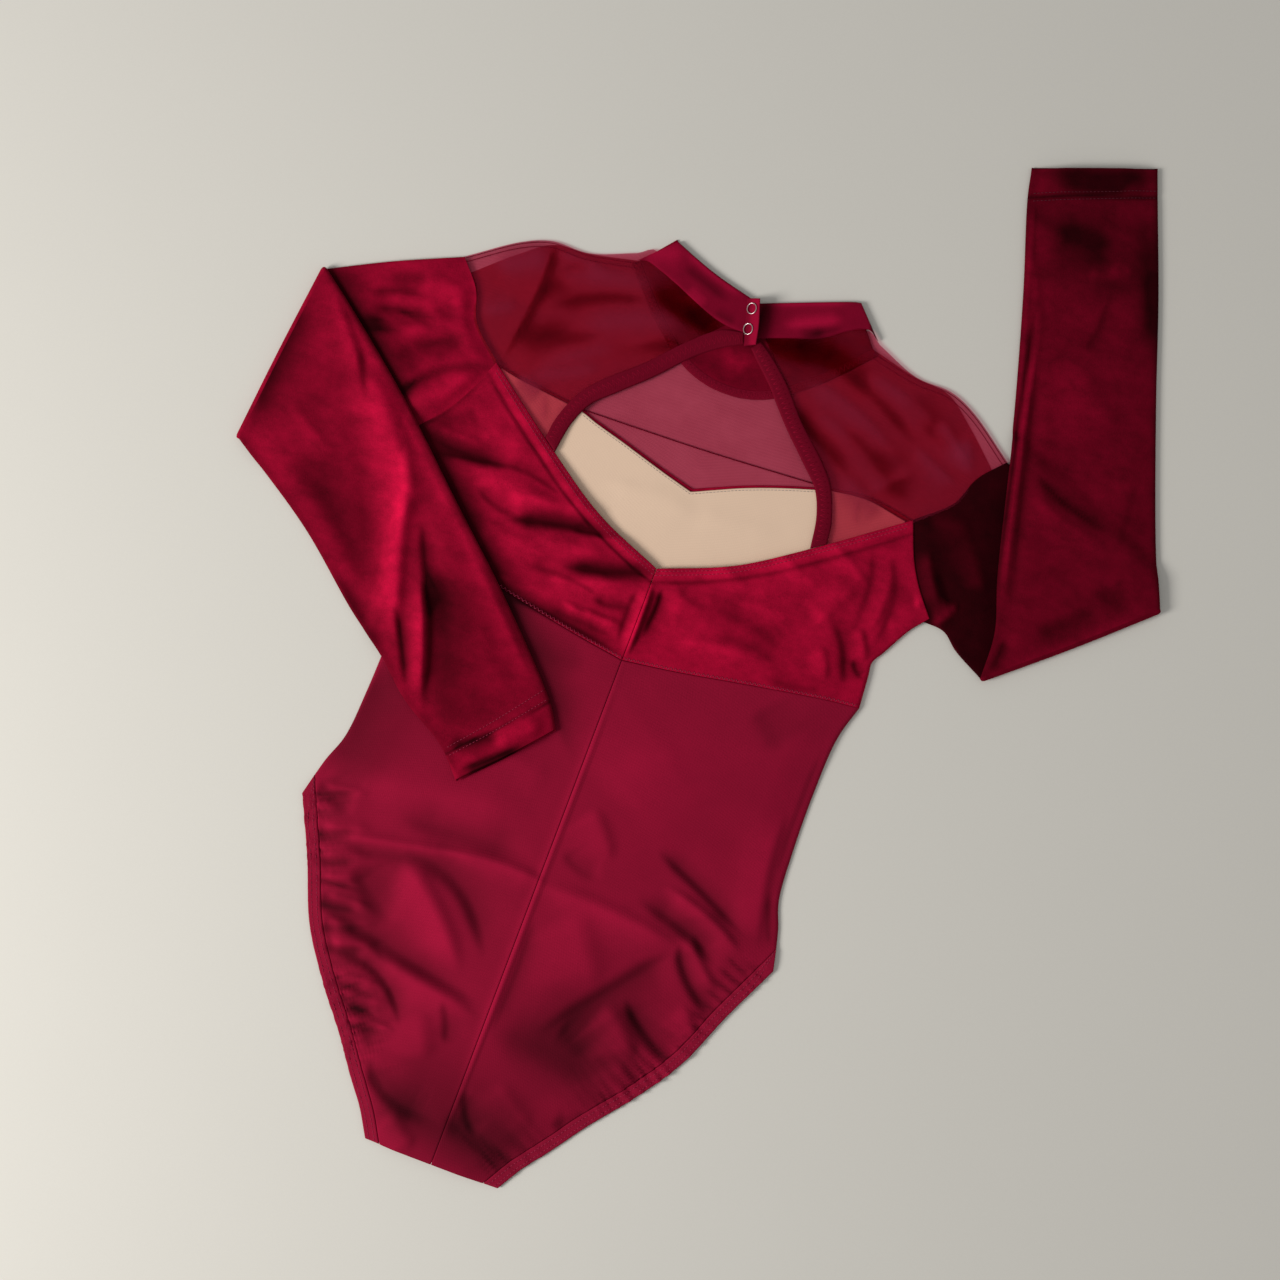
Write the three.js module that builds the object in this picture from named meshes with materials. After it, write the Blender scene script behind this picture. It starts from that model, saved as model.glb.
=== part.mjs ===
import * as THREE from 'three';

// A long-sleeved leotard laid flat with its back up. Millimetres, +Z up.
// Drafting frame: x = 0 is the centre-back seam, y = 0 the crotch seam, +y runs to the collar.

const wall = 1.2; // cloth of one layer
const layerGap = 0.3; // between layers, and between pieces at a seam
const liningWall = 1.0;
const collarWall = 2.0; // the collar is doubled cloth
const bindingWall = 1.8;
const legBandWidth = 9.5;
const sweetheartRim = 2.6; // bodice velvet that shows above the lining
const liningTuck = 17; // lining carried on below the back's V edge
const liningShare = 0.97; // of the bodice's width
const sleeveDepth = 3.0; // a flattened sleeve, two walls with a slit between
const sleeveWall = 1.1;
const foldedGap = 0.6; // between a forearm and what it lies on
const backLoft = 2.2; // how far the back stands off the front between its edges
const loftEdge = 34; // distance from the side over which the loft grows
const tabTilt = THREE.MathUtils.degToRad(35);
const gatherCount = 20; // small gathers beside each leg's elastic
const gatherHeight = 0.7;
const gatherReach = 15; // how far inwards a gather dies away
const snapDiameter = 9.5;
const snapWire = 0.6; // radius

const xy = ['x', 'y'];

// Rows of numbers become objects with the columns' names
function table(columns, rows) {
  return rows.map((row) => Object.fromEntries(columns.map((name, i) => [name, row[i]])));
}

// Right-hand outlines; the left-hand ones are their mirror images
const legEdge = table(xy, [
  [51, 0], [63, 20], [76, 37], [96, 65], [119, 94], [143, 130], [161, 173], [181, 216],
]);
const legBandEnd = { x: 177.4, y: 232 }; // where the band's inner edge meets the side seam
const bodySide = table(xy, [[177.4, 232], [174, 245], [167, 265], [164, 300], [163, 345], [165, 389], [172, 415]]);
const bandBottom = table(xy, [[0, 387], [40, 393], [94, 403], [146, 412], [172, 415]]);
const bandSide = table(xy, [[172, 415], [170, 438], [169, 449], [174, 458], [186, 480], [196, 493]]);
const armholeLow = table(xy, [[196, 493], [182, 510], [171, 528], [160, 555]]);
const armholeHigh = table(xy, [[160, 555], [184, 577], [193, 599], [209, 618]]);
const vEdge = table(xy, [[0, 457], [52, 479], [99, 510], [160, 555]]);
const shoulder = table(xy, [[209, 618], [173, 643], [153, 651], [126, 652], [90, 659]]);
const bindingInner = table(xy, [[5.5, 628], [28, 610], [51, 585], [73, 564], [86, 551], [94, 533], [98, 510.2]]);
const bindingOuter = table(xy, [[13, 639], [40, 615], [60, 593], [86, 569], [97, 555], [106, 532], [108, 517.4]]);
const collarBottom = table(xy, [[13, 640], [30, 644], [46, 650], [60, 656], [75, 666], [90, 662]]);
const collarTop = table(xy, [[20, 668], [40, 675], [58, 681], [69, 686]]);
// The front lies a little askew under the back, so its edges run from far left to far right
const sweetheart = {
  leftSide: table(xy, [[-160, 552.4], [-143, 549.5], [-92, 543.5], [-68, 537.2]]),
  leftLobe: table(xy, [[-68, 537.2], [-56, 534], [-25, 525.5], [0, 517.5]]),
  rightLobe: table(xy, [[0, 517.5], [25, 527.5], [49, 538], [75, 547], [88, 550.3]]),
  rightSide: table(xy, [[88, 550.3], [99, 553.5], [127, 557], [160, 552.4]]),
};
const insertSeam = table(xy, [[-68, 541.7], [10, 548.1], [88, 554.6]]);
const neckFront = table(xy, [[0, 596], [31, 605], [60, 628], [90, 660]]);
const neckFrontTop = table(xy, [[0, 624], [31, 632], [52, 652], [70, 686]]);

// Half the torso's width at each height, for what lies on the torso
const torsoHalf = table(['y', 'half'], [
  [0, 51], [37, 76], [94, 119], [130, 143], [173, 161], [216, 181], [245, 174], [300, 164],
  [389, 165], [417, 172], [449, 169], [480, 186], [493, 196], [528, 171], [555, 160], [577, 184],
  [618, 209], [643, 173], [652, 130], [662, 90], [686, 70],
]);

// Troughs are negative. A crease runs through its three points and fades over its width.
const crease = ['x1', 'y1', 'x2', 'y2', 'x3', 'y3', 'width', 'height'];
const backCreases = table(crease, [
  [1, 447, 1, 418, 1, 389, 7, 3.4],
  [12, 442, 13, 420, 13, 398, 6, -1.8],
  [-156, 475, -112, 480, -69, 476, 9, 1.6],
  [-114, 452, -80, 456, -46, 465, 9, -1.9],
  [-41, 442, -23, 444, -5, 450, 7, -1.6],
  [-30, 420, -18, 422, -8, 426, 7, 1.4],
  [60, 470, 90, 484, 120, 500, 12, 1.4],
  [125, 478, 140, 462, 150, 440, 10, 1.7],
  [-103, 248, -58, 252, 2, 257, 12, 1.6],
  [-84, 234, -43, 233, -9, 231, 10, -1.7],
  [-136, 200, -92, 209, -40, 225, 9, -1.8],
  [-128, 192, -89, 199, -6, 217, 10, 1.8],
  [-95, 198, -57, 181, -37, 158, 9, 2.6],
  [-82, 197, -55, 186, -31, 161, 8, -1.6],
  [-132, 157, -84, 148, -16, 124, 10, -2.0],
  [-122, 134, -70, 128, -2, 107, 11, 2.2],
  [-110, 114, -73, 98, -28, 91, 11, -1.6],
  [-61, 48, -28, 41, 2, 35, 10, -1.5],
  [73, 270, 112, 254, 148, 234, 10, -1.7],
  [88, 248, 121, 239, 152, 227, 9, 1.6],
  [9, 216, 60, 213, 116, 206, 12, 1.9],
  [77, 204, 96, 193, 69, 154, 9, -1.5],
  [111, 216, 121, 200, 121, 181, 9, 1.8],
  [124, 214, 127, 190, 147, 163, 9, -1.9],
  [90, 163, 111, 146, 132, 124, 9, -1.7],
  [40, 160, 60, 190, 84, 214, 11, 1.6],
  [33, 112, 60, 116, 101, 102, 12, -1.8],
  [20, 90, 46, 80, 70, 64, 11, 1.6],
]);
const leftSleeveCreases = table(crease, [
  [-285, 557, -250, 514, -188, 462, 10, 2.0],
  [-188, 462, -174, 410, -159, 342, 10, 2.2],
  [-165, 437, -138, 372, -116, 298, 10, -2.2],
  [-148, 378, -137, 350, -130, 314, 8, 1.4],
  [-147, 437, -92, 380, -46, 340, 10, 1.3],
  [-264, 446, -230, 420, -187, 375, 13, -1.4],
  [-250, 580, -232, 586, -212, 600, 10, 1.1],
  [-210, 522, -188, 544, -164, 556, 9, 1.3],
]);
const rightSleeveCreases = table(crease, [
  [204, 666, 222, 590, 255, 491, 9, 1.7],
  [231, 615, 265, 600, 298, 593, 11, -1.3],
  [236, 596, 270, 580, 304, 570, 11, 1.3],
  [226, 690, 248, 682, 270, 672, 13, 1.3],
  [190, 800, 202, 770, 214, 730, 12, 1.2],
  [196, 560, 211, 540, 226, 520, 10, 1.4],
  [176, 545, 190, 526, 206, 506, 9, 1.2],
]);

// Where each sleeve lies: upper arm from the armhole to the elbow crease, forearm from there on
const sleeves = {
  left: {
    side: -1,
    creases: leftSleeveCreases,
    underarm: table(xy, [[-196, 493], [-255, 467], [-313, 438]]),
    overarm: table(xy, [[-209, 618], [-255, 597], [-298, 575]]),
    elbow: table(xy, [[-313, 438], [-306, 508], [-298, 575]]),
    out: new THREE.Vector3(-0.994, 0.109, 0),
    foreA: table(xy, [[-313, 438], [-247, 395], [-194, 351], [-162, 328], [-135, 305], [-100, 284], [-81, 265]]),
    foreB: table(xy, [[-298, 575], [-270, 554], [-212, 504], [-153, 450], [-97, 402], [-37, 340], [-27, 324]]),
    hem: table(xy, [[-81, 265], [-54, 293], [-27, 324]]),
  },
  right: {
    side: 1,
    creases: rightSleeveCreases,
    underarm: table(xy, [[196, 493], [209, 488], [222, 478], [245, 466]]),
    overarm: table(xy, [[209, 618], [280, 588], [348, 558]]),
    elbow: table(xy, [[245, 466], [297, 511], [348, 558]]),
    out: new THREE.Vector3(0.666, -0.746, 0),
    foreA: table(xy, [[245, 466], [243, 500], [231, 537], [210, 618], [200, 656], [176, 737], [155, 801], [150.5, 821]]),
    foreB: table(xy, [[348, 558], [329, 602], [293, 698], [269, 766], [243, 833], [235.5, 852.5]]),
    hem: table(xy, [[150.5, 821], [193, 837], [235.5, 852.5]]),
  },
};

const cloths = {
  knit: { color: 0x87102c, roughness: 0.82, metalness: 0 },
  velvet: { color: 0x9c0a33, roughness: 0.7, metalness: 0 },
  mesh: { color: 0xa83c4c, roughness: 0.75, metalness: 0 },
  smoothVelvet: { color: 0x9a0730, roughness: 0.55, metalness: 0 },
  binding: { color: 0x82102e, roughness: 0.85, metalness: 0 },
  lining: { color: 0xdec4a5, roughness: 0.9, metalness: 0 },
  metal: { color: 0xd9d4d0, roughness: 0.28, metalness: 1 },
};

const leotard = new THREE.Group();

function addPiece(name, cloth, geometry) {
  const mesh = new THREE.Mesh(geometry, new THREE.MeshStandardMaterial(cloths[cloth]));
  mesh.name = name;
  leotard.add(mesh);
  return mesh;
}

function moved(rows, dx, dy) {
  return rows.map((row) => ({ x: row.x + dx, y: row.y + dy }));
}

function mirrored(rows) {
  return rows.map((row) => ({ x: -row.x, y: row.y }));
}

function reversed(rows) {
  return [...rows].reverse();
}

// Evenly spaced points on the smooth curve through a table's rows
function along(rows, steps) {
  const points = rows.map((row) => new THREE.Vector3(row.x, row.y, 0));
  const curve = new THREE.CatmullRomCurve3(points, false, 'centripetal');
  return curve.getSpacedPoints(steps);
}

// Stretches that meet end to end, with their shared corners kept
function chained(...stretches) {
  return stretches.reduce((path, next) => path.concat(next.slice(1)));
}

// A half's outline run on across the middle: the mirror image first, then the half itself
function acrossMiddle(points) {
  const mirror = reversed(points).map((p) => new THREE.Vector3(-p.x, p.y, 0));
  return mirror.concat(points.slice(1));
}

// Points moved to the left of their direction of travel
function offset(points, distance) {
  return points.map((p, i) => {
    const before = points[Math.max(0, i - 1)];
    const after = points[Math.min(points.length - 1, i + 1)];
    const step = new THREE.Vector3().subVectors(after, before).normalize();
    return new THREE.Vector3(p.x - step.y * distance, p.y + step.x * distance, 0);
  });
}

function smoothRamp(low, high, value) {
  return THREE.MathUtils.smoothstep(value, low, high);
}

// Height of a table's column at y, straight between rows
function columnAt(rows, y, column) {
  const next = rows.findIndex((row) => row.y >= y);
  if (next <= 0) return next < 0 ? rows.at(-1)[column] : rows[0][column];
  const low = rows[next - 1];
  const high = rows[next];
  return THREE.MathUtils.mapLinear(y, low.y, high.y, low[column], high[column]);
}

// A bowed line passes through its middle point half way
const creaseSteps = 6;
function bowed(row) {
  const start = new THREE.Vector3(row.x1, row.y1, 0);
  const end = new THREE.Vector3(row.x3, row.y3, 0);
  const bend = new THREE.Vector3(2 * row.x2 - (row.x1 + row.x3) / 2, 2 * row.y2 - (row.y1 + row.y3) / 2, 0);
  return new THREE.QuadraticBezierCurve3(start, bend, end).getPoints(creaseSteps);
}

for (const row of [...backCreases, ...leftSleeveCreases, ...rightSleeveCreases]) row.line = bowed(row);

function distanceToLine(line, x, y) {
  let nearest = Infinity;
  for (let i = 1; i < line.length; i += 1) {
    const from = line[i - 1];
    const dx = line[i].x - from.x;
    const dy = line[i].y - from.y;
    const share = THREE.MathUtils.clamp(((x - from.x) * dx + (y - from.y) * dy) / (dx * dx + dy * dy), 0, 1);
    nearest = Math.min(nearest, Math.hypot(x - from.x - share * dx, y - from.y - share * dy));
  }
  return nearest;
}

function creaseHeight(creases, x, y) {
  return creases.reduce((sum, row) => sum + row.height * Math.exp(-((distanceToLine(row.line, x, y) / row.width) ** 2)), 0);
}

function insideTorso(x, y) {
  return columnAt(torsoHalf, y, 'half') - Math.abs(x);
}

const legSteps = 2 * gatherCount;
const legOuter = along(legEdge, legSteps);

// Gathers rise and fall in turn along the leg's edge and die away inwards
function legGathers(x, y) {
  let nearest = Infinity;
  let station = 0;
  legOuter.forEach((p, i) => {
    const away = Math.hypot(Math.abs(x) - p.x, y - p.y);
    if (away < nearest) [nearest, station] = [away, i];
  });
  const ends = smoothRamp(0, 30, y) * (1 - smoothRamp(200, 225, y));
  return gatherHeight * Math.cos(Math.PI * station) * Math.exp(-nearest / gatherReach) * ends;
}

// Underside of the back layer: on the front, a little higher over the lining, with its creases
function backBase(x, y) {
  const overLining = smoothRamp(340, 385, y) * (1 - smoothRamp(575, 605, y));
  const seat = wall + layerGap + overLining * (liningWall + layerGap);
  const room = smoothRamp(0, loftEdge, insideTorso(x, y)) * (1 - smoothRamp(470, 560, y));
  const puff = (backLoft + creaseHeight(backCreases, x, y)) * room + Math.max(0, legGathers(x, y));
  return seat + Math.max(0, puff);
}

// A four-sided patch of points between its boundary curves
function patch(bottom, top, left, right) {
  const acrossSteps = bottom.length - 1;
  const upSteps = left.length - 1;
  const grid = [];
  for (let j = 0; j <= upSteps; j += 1) {
    const v = j / upSteps;
    const row = [];
    for (let i = 0; i <= acrossSteps; i += 1) {
      const u = i / acrossSteps;
      const point = new THREE.Vector3();
      point.addScaledVector(bottom[i], 1 - v).addScaledVector(top[i], v);
      point.addScaledVector(left[j], 1 - u).addScaledVector(right[j], u);
      point.addScaledVector(bottom[0], -(1 - u) * (1 - v)).addScaledVector(bottom[acrossSteps], -u * (1 - v));
      point.addScaledVector(top[0], -(1 - u) * v).addScaledVector(top[acrossSteps], -u * v);
      row.push(point);
    }
    grid.push(row);
  }
  return grid;
}

// A strip of points between two lines with the same number of points
function strip(inner, outer, steps = 1) {
  const grid = [];
  for (let j = 0; j <= steps; j += 1) {
    grid.push(inner.map((p, i) => new THREE.Vector3().lerpVectors(p, outer[i], j / steps)));
  }
  return grid;
}

function mirrorGrid(grid) {
  return grid.map((row) => row.map((p) => new THREE.Vector3(-p.x, p.y, p.z)));
}

function geometryFrom(points, triangles) {
  const geometry = new THREE.BufferGeometry();
  geometry.setAttribute('position', new THREE.Float32BufferAttribute(points.flatMap((p) => [p.x, p.y, p.z]), 3));
  geometry.setIndex(triangles);
  return geometry;
}

// Closed wall over a grid of points: base height from a function, thickness straight up
function wallOver(grid, baseAt, thickness) {
  const columns = grid[0].length;
  const rows = grid.length;
  const base = grid.flat().map((p) => new THREE.Vector3(p.x, p.y, baseAt(p.x, p.y)));
  const top = base.map((p) => new THREE.Vector3(p.x, p.y, p.z + thickness));
  const at = (i, j) => j * columns + i;
  const faces = [];
  for (let j = 0; j < rows - 1; j += 1) {
    for (let i = 0; i < columns - 1; i += 1) {
      const [a, b, c, d] = [at(i, j), at(i + 1, j), at(i + 1, j + 1), at(i, j + 1)];
      faces.push([a + base.length, b + base.length, c + base.length], [a + base.length, c + base.length, d + base.length]);
      faces.push([a, c, b], [a, d, c]);
    }
  }
  const rim = [];
  for (let i = 0; i < columns - 1; i += 1) rim.push(at(i, 0));
  for (let j = 0; j < rows - 1; j += 1) rim.push(at(columns - 1, j));
  for (let i = columns - 1; i > 0; i -= 1) rim.push(at(i, rows - 1));
  for (let j = rows - 1; j > 0; j -= 1) rim.push(at(0, j));
  let area = 0;
  rim.forEach((p, k) => {
    const q = rim[(k + 1) % rim.length];
    area += base[p].x * base[q].y - base[q].x * base[p].y;
    faces.push([p, q, q + base.length], [p, q + base.length, p + base.length]);
  });
  const facing = area > 0 ? faces : faces.map(([a, b, c]) => [a, c, b]);
  return geometryFrom(base.concat(top), facing.flat());
}

function addPanel(name, cloth, grid, baseAt, thickness = wall) {
  return addPiece(name, cloth, wallOver(grid, baseAt, thickness));
}

function addPair(name, cloth, grid, baseAt, thickness = wall) {
  addPanel(`${name}_right`, cloth, grid, baseAt, thickness);
  addPanel(`${name}_left`, cloth, mirrorGrid(grid), baseAt, thickness);
}

const onFloor = () => 0;

// Leg bands and the two body layers
function legInset(distance) {
  const line = offset(legOuter, distance);
  const slope = (line[1].x - line[0].x) / (line[1].y - line[0].y);
  line[0].set(line[0].x - line[0].y * slope, 0, 0);
  line[legSteps].set(legBandEnd.x, legBandEnd.y - (distance > legBandWidth ? 0 : layerGap), 0);
  return line;
}
const legBandGrid = strip(legOuter, legInset(legBandWidth));
addPair('leg_band_back', 'knit', legBandGrid, backBase);
addPair('leg_band_front', 'knit', legBandGrid, onFloor);

const legLine = legInset(legBandWidth + layerGap);
const bodyRight = chained(legLine, along(bodySide, 9));
bodyRight[bodyRight.length - 1].y -= layerGap;
const bodySteps = bodyRight.length - 1;
const bodyAcross = 12;
const bodyTop = along(moved(bandBottom, 0, -layerGap), bodyAcross);
const middleGap = layerGap / 2;

function backBody() {
  const bottom = along([{ x: middleGap, y: 0 }, { x: legLine[0].x, y: 0 }], bodyAcross);
  const top = bodyTop.map((p) => p.clone());
  top[0].x = middleGap;
  const left = along([{ x: middleGap, y: 0 }, { x: middleGap, y: top[0].y }], bodySteps);
  return patch(bottom, top, left, bodyRight);
}
addPair('back_body', 'knit', backBody(), backBase);

function frontBody() {
  const half = along([{ x: 0, y: 0 }, { x: legLine[0].x, y: 0 }], 4);
  const top = along(moved(bandBottom, 0, -layerGap), 4);
  const left = bodyRight.map((p) => new THREE.Vector3(-p.x, p.y, 0));
  return patch(acrossMiddle(half), acrossMiddle(top), left, bodyRight);
}
addPanel('front_body', 'knit', frontBody(), onFloor);

// Velvet round the bust: the back band in two halves, the front bodice in one
const sideUp = chained(along(bandSide, 5), along(armholeLow, 4));

function backBand() {
  const bottom = along(bandBottom, 8);
  const top = along(vEdge, 8);
  bottom[0].x = middleGap;
  top[0].x = middleGap;
  const left = along([bottom[0], top[0]], sideUp.length - 1);
  return patch(bottom, top, left, sideUp);
}
addPair('back_band', 'velvet', backBand(), backBase);

const edgeSteps = 4; // in each stretch of the sweetheart edge
function sweetheartEdge(rise, ...names) {
  return chained(...names.map((name) => along(moved(sweetheart[name], 0, rise), edgeSteps)));
}
const wholeEdge = ['leftSide', 'leftLobe', 'rightLobe', 'rightSide'];

function frontBodice() {
  const left = sideUp.map((p) => new THREE.Vector3(-p.x, p.y, 0));
  const bottom = acrossMiddle(along(bandBottom, 2 * edgeSteps));
  return patch(bottom, sweetheartEdge(sweetheartRim, ...wholeEdge), left, sideUp);
}
addPanel('front_bodice', 'velvet', frontBodice(), onFloor);

function frontLining() {
  const top = sweetheartEdge(0, ...wholeEdge);
  const bottom = acrossMiddle(along(moved(vEdge, 0, -liningTuck), 2 * edgeSteps));
  for (const p of [...top, ...bottom]) p.x *= liningShare;
  const right = along([bottom.at(-1), top.at(-1)], 2);
  const left = along([bottom[0], top[0]], 2);
  return patch(bottom, top, left, right);
}
addPanel('front_lining', 'lining', frontLining(), () => wall + layerGap, liningWall);

// Mesh above the bodice, in two pieces that meet at a straight seam
function frontInsert() {
  const bottom = sweetheartEdge(sweetheartRim + layerGap, 'leftLobe', 'rightLobe');
  const top = along(insertSeam, 2 * edgeSteps);
  return patch(bottom, top, [bottom[0], top[0]], [bottom.at(-1), top.at(-1)]);
}
addPanel('front_insert', 'mesh', frontInsert(), onFloor);

const neckSteps = 5;
function frontYoke() {
  const seam = moved(insertSeam, 0, layerGap);
  const overBodice = sweetheartRim + layerGap + 0.1;
  const leftBodice = moved(sweetheart.leftSide, 0, overBodice);
  const rightBodice = moved(sweetheart.rightSide, 0, overBodice);
  const corner = { x: 159.6, y: 556.4 };
  const bottom = chained(
    along([{ x: -corner.x, y: corner.y }, ...leftBodice.slice(1, -1), seam[0]], edgeSteps),
    along(seam, 2 * edgeSteps),
    along([seam.at(-1), ...rightBodice.slice(1, -1), corner], edgeSteps),
  );
  const neckCorner = neckFront.at(-1);
  const top = chained(along(neckFront, neckSteps), along([neckCorner, ...reversed(shoulder).slice(1)], 3));
  const right = along([corner, ...armholeHigh.slice(1)], 5);
  const left = right.map((p) => new THREE.Vector3(-p.x, p.y, 0));
  return patch(bottom, acrossMiddle(top), left, right);
}
addPanel('front_yoke', 'mesh', frontYoke(), onFloor);

// Stand collar: the front half underneath, the two back halves on top
function frontCollar() {
  const inner = offset(along(neckFront, neckSteps), layerGap);
  inner[0].x = 0;
  return strip(acrossMiddle(inner), acrossMiddle(along(neckFrontTop, neckSteps)));
}
addPanel('collar_front', 'smoothVelvet', frontCollar(), onFloor);

const collarLine = along(collarBottom, 6);
// The left half ends at the closure tab and the right half starts beyond it: lower and upper corner
const collarEnds = {
  left: table(xy, [[3.8, 638.5], [10.6, 663.8]]),
  right: table(xy, [[10.6, 638], [4.4, 662.5]]),
};
function backCollar([lower, upper]) {
  const bottom = [new THREE.Vector3(lower.x, lower.y, 0), ...collarLine];
  return strip(bottom, along([upper, ...collarTop], bottom.length - 1), 2);
}
const collarSeat = () => wall + layerGap;
addPanel('collar_back_right', 'smoothVelvet', backCollar(collarEnds.right), collarSeat, collarWall);
addPanel('collar_back_left', 'smoothVelvet', mirrorGrid(backCollar(collarEnds.left)), collarSeat, collarWall);

// Mesh back yoke with the bound keyhole edge
const yokeHem = table(xy, [[108.4, 518.4], [133, 535.9], [160, 555.6]]);
const bindingSteps = 12;
const bindingLine = along(bindingOuter, bindingSteps);
function backYoke() {
  const neck = offset(collarLine, -layerGap);
  const top = chained(neck, along([neck.at(-1), ...reversed(shoulder).slice(1)], 4));
  const left = offset(bindingLine, layerGap).reverse();
  left[bindingSteps].copy(neck[0]);
  const bottom = along(yokeHem, top.length - 1);
  left[0].copy(bottom[0]);
  const right = along([{ x: 160, y: 555.6 }, ...armholeHigh.slice(1)], bindingSteps);
  return patch(bottom, top, left, right);
}
addPair('back_yoke', 'mesh', backYoke(), backBase);

addPair('keyhole_binding', 'binding', strip(along(bindingInner, bindingSteps), bindingLine), backBase, bindingWall);

// Closure tab, aslant and tilted with its right edge up, and the two ring snaps pressed into it
const tabSeat = wall + layerGap;
const tabLeft = table(xy, [[2.0, 630], [-8.5, 661]]);
const tabRight = table(xy, [[9.6, 632], [0.9, 663.4]]);
function tabBase(x, y) {
  return tabSeat + Math.max(0, x - columnAt(tabLeft, y, 'x')) * Math.tan(tabTilt);
}
addPanel('closure_tab', 'smoothVelvet', strip(along(tabLeft, 4), along(tabRight, 4), 2), tabBase, collarWall);

const tabLean = (tabLeft[1].x - tabLeft[0].x) / (tabLeft[1].y - tabLeft[0].y);
const tabFacing = new THREE.Vector3(-Math.tan(tabTilt), tabLean * Math.tan(tabTilt), 1).normalize();
function addSnap(name, x, y) {
  const ring = addPiece(name, 'metal', new THREE.TorusGeometry(snapDiameter / 2 - snapWire, snapWire, 6, 20));
  ring.position.set(x, y, tabBase(x, y) + collarWall);
  ring.position.addScaledVector(tabFacing, snapWire + layerGap);
  ring.quaternion.setFromUnitVectors(new THREE.Vector3(0, 0, 1), tabFacing);
}
addSnap('snap_ring_top', -1.8, 655.4);
addSnap('snap_ring_bottom', 0.9, 641);

// Distance inside a convex outline
function insideOutline(rows, x, y) {
  const middle = { x: 0, y: 0 };
  rows.forEach((row) => {
    middle.x += row.x / rows.length;
    middle.y += row.y / rows.length;
  });
  const distances = rows.map((row, i) => {
    const next = rows[(i + 1) % rows.length];
    const length = Math.hypot(next.x - row.x, next.y - row.y);
    const side = (px, py) => ((next.x - row.x) * (py - row.y) - (next.y - row.y) * (px - row.x)) / length;
    return side(x, y) * Math.sign(side(middle.x, middle.y));
  });
  return Math.min(...distances);
}

// What a forearm lies on: the upper arm, the torso, or the floor, with soft edges between
const supportFade = 13;
const supportReach = 7;
function supportUnder(sleeve, x, y) {
  const arm = [sleeve.underarm[0], sleeve.elbow[0], sleeve.elbow.at(-1), sleeve.overarm[0]];
  const onArm = smoothRamp(-supportFade, -2, insideOutline(arm, x, y)) * sleeveDepth;
  const onTorso = smoothRamp(-supportFade, -2, insideTorso(x, y)) * (backBase(x, y) + wall);
  return Math.max(onArm, y < 690 ? onTorso : 0);
}

function forearmBase(sleeve, x, y) {
  let support = 0;
  for (const dx of [-supportReach, 0, supportReach]) {
    for (const dy of [-supportReach, 0, supportReach]) {
      support = Math.max(support, supportUnder(sleeve, x + dx, y + dy));
    }
  }
  return support > 0.01 ? support + foldedGap * smoothRamp(0, 0.6, support) : 0;
}

// Stations along a sleeve: a row of middle points across it, and the way that its first face looks
const bendSteps = 4;
const armholeSeat = 0.8;
function sleeveStations(sleeve) {
  const flip = (rows) => (sleeve.side < 0 ? mirrored(rows) : rows);
  const seat = sleeve.side * armholeSeat;
  const hole = chained(
    along(moved(flip(armholeLow), seat, 0), 4),
    along(moved(flip(armholeHigh), seat, 0), 5),
  );
  const across = hole.length - 1;
  const elbow = along(sleeve.elbow, across);
  const underarm = along([{ x: hole[0].x, y: hole[0].y }, ...sleeve.underarm.slice(1)], 7);
  const overarm = along([{ x: hole[across].x, y: hole[across].y }, ...sleeve.overarm.slice(1)], 7);
  const upper = patch(hole, elbow, underarm, overarm);
  const up = new THREE.Vector3(0, 0, 1);
  const stations = upper.map((row) => ({
    row: row.map((p) => new THREE.Vector3(p.x, p.y, sleeveDepth / 2)),
    face: up,
  }));
  const low = sleeveDepth / 2;
  const high = sleeveDepth * 1.5 + foldedGap;
  const radius = (high - low) / 2;
  for (let k = 1; k <= bendSteps; k += 1) {
    const turn = (Math.PI * k) / bendSteps;
    const shift = sleeve.out.clone().multiplyScalar(radius * Math.sin(turn));
    shift.z = low + radius - radius * Math.cos(turn);
    stations.push({
      row: elbow.map((p) => p.clone().add(shift)),
      face: sleeve.out.clone().multiplyScalar(-Math.sin(turn)).addScaledVector(up, Math.cos(turn)),
    });
  }
  const lower = patch(elbow, along(sleeve.hem, across), along(sleeve.foreA, 16), along(sleeve.foreB, 16));
  lower.slice(1).forEach((row) => {
    stations.push({
      row: row.map((p) => new THREE.Vector3(p.x, p.y, forearmBase(sleeve, p.x, p.y) + low)),
      face: up.clone().negate(),
    });
  });
  return stations;
}

// One ring of points round the flattened tube, at a distance inside its outer face
function sleeveRing(station, creases, inset) {
  const { row, face } = station;
  const last = row.length - 1;
  const sideways = new THREE.Vector3().subVectors(row[last], row[0]).normalize();
  const fade = Math.abs(face.z) > 0.99 ? 1 : 0;
  const ring = [];
  for (const [sign, order] of [[-1, 1], [1, -1]]) {
    for (let k = 0; k <= last; k += 1) {
      const i = order > 0 ? k : last - k;
      const atEdge = i === 0 || i === last;
      const half = atEdge ? sleeveDepth / 2 - 0.35 : sleeveDepth / 2;
      const point = row[i].clone().addScaledVector(face, sign * (half - (atEdge ? inset * 0.92 : inset)));
      if (atEdge) point.addScaledVector(sideways, (i === 0 ? 1 : -1) * inset * 1.2);
      const onTop = sign * face.z > 0 && !atEdge;
      if (onTop) point.z += fade * Math.max(0, 0.5 + creaseHeight(creases, point.x, point.y));
      ring.push(point);
    }
  }
  return ring;
}

function signedVolume(points, faces) {
  return faces.reduce((sum, [a, b, c]) => sum + points[a].dot(points[b].clone().cross(points[c])), 0);
}

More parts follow.
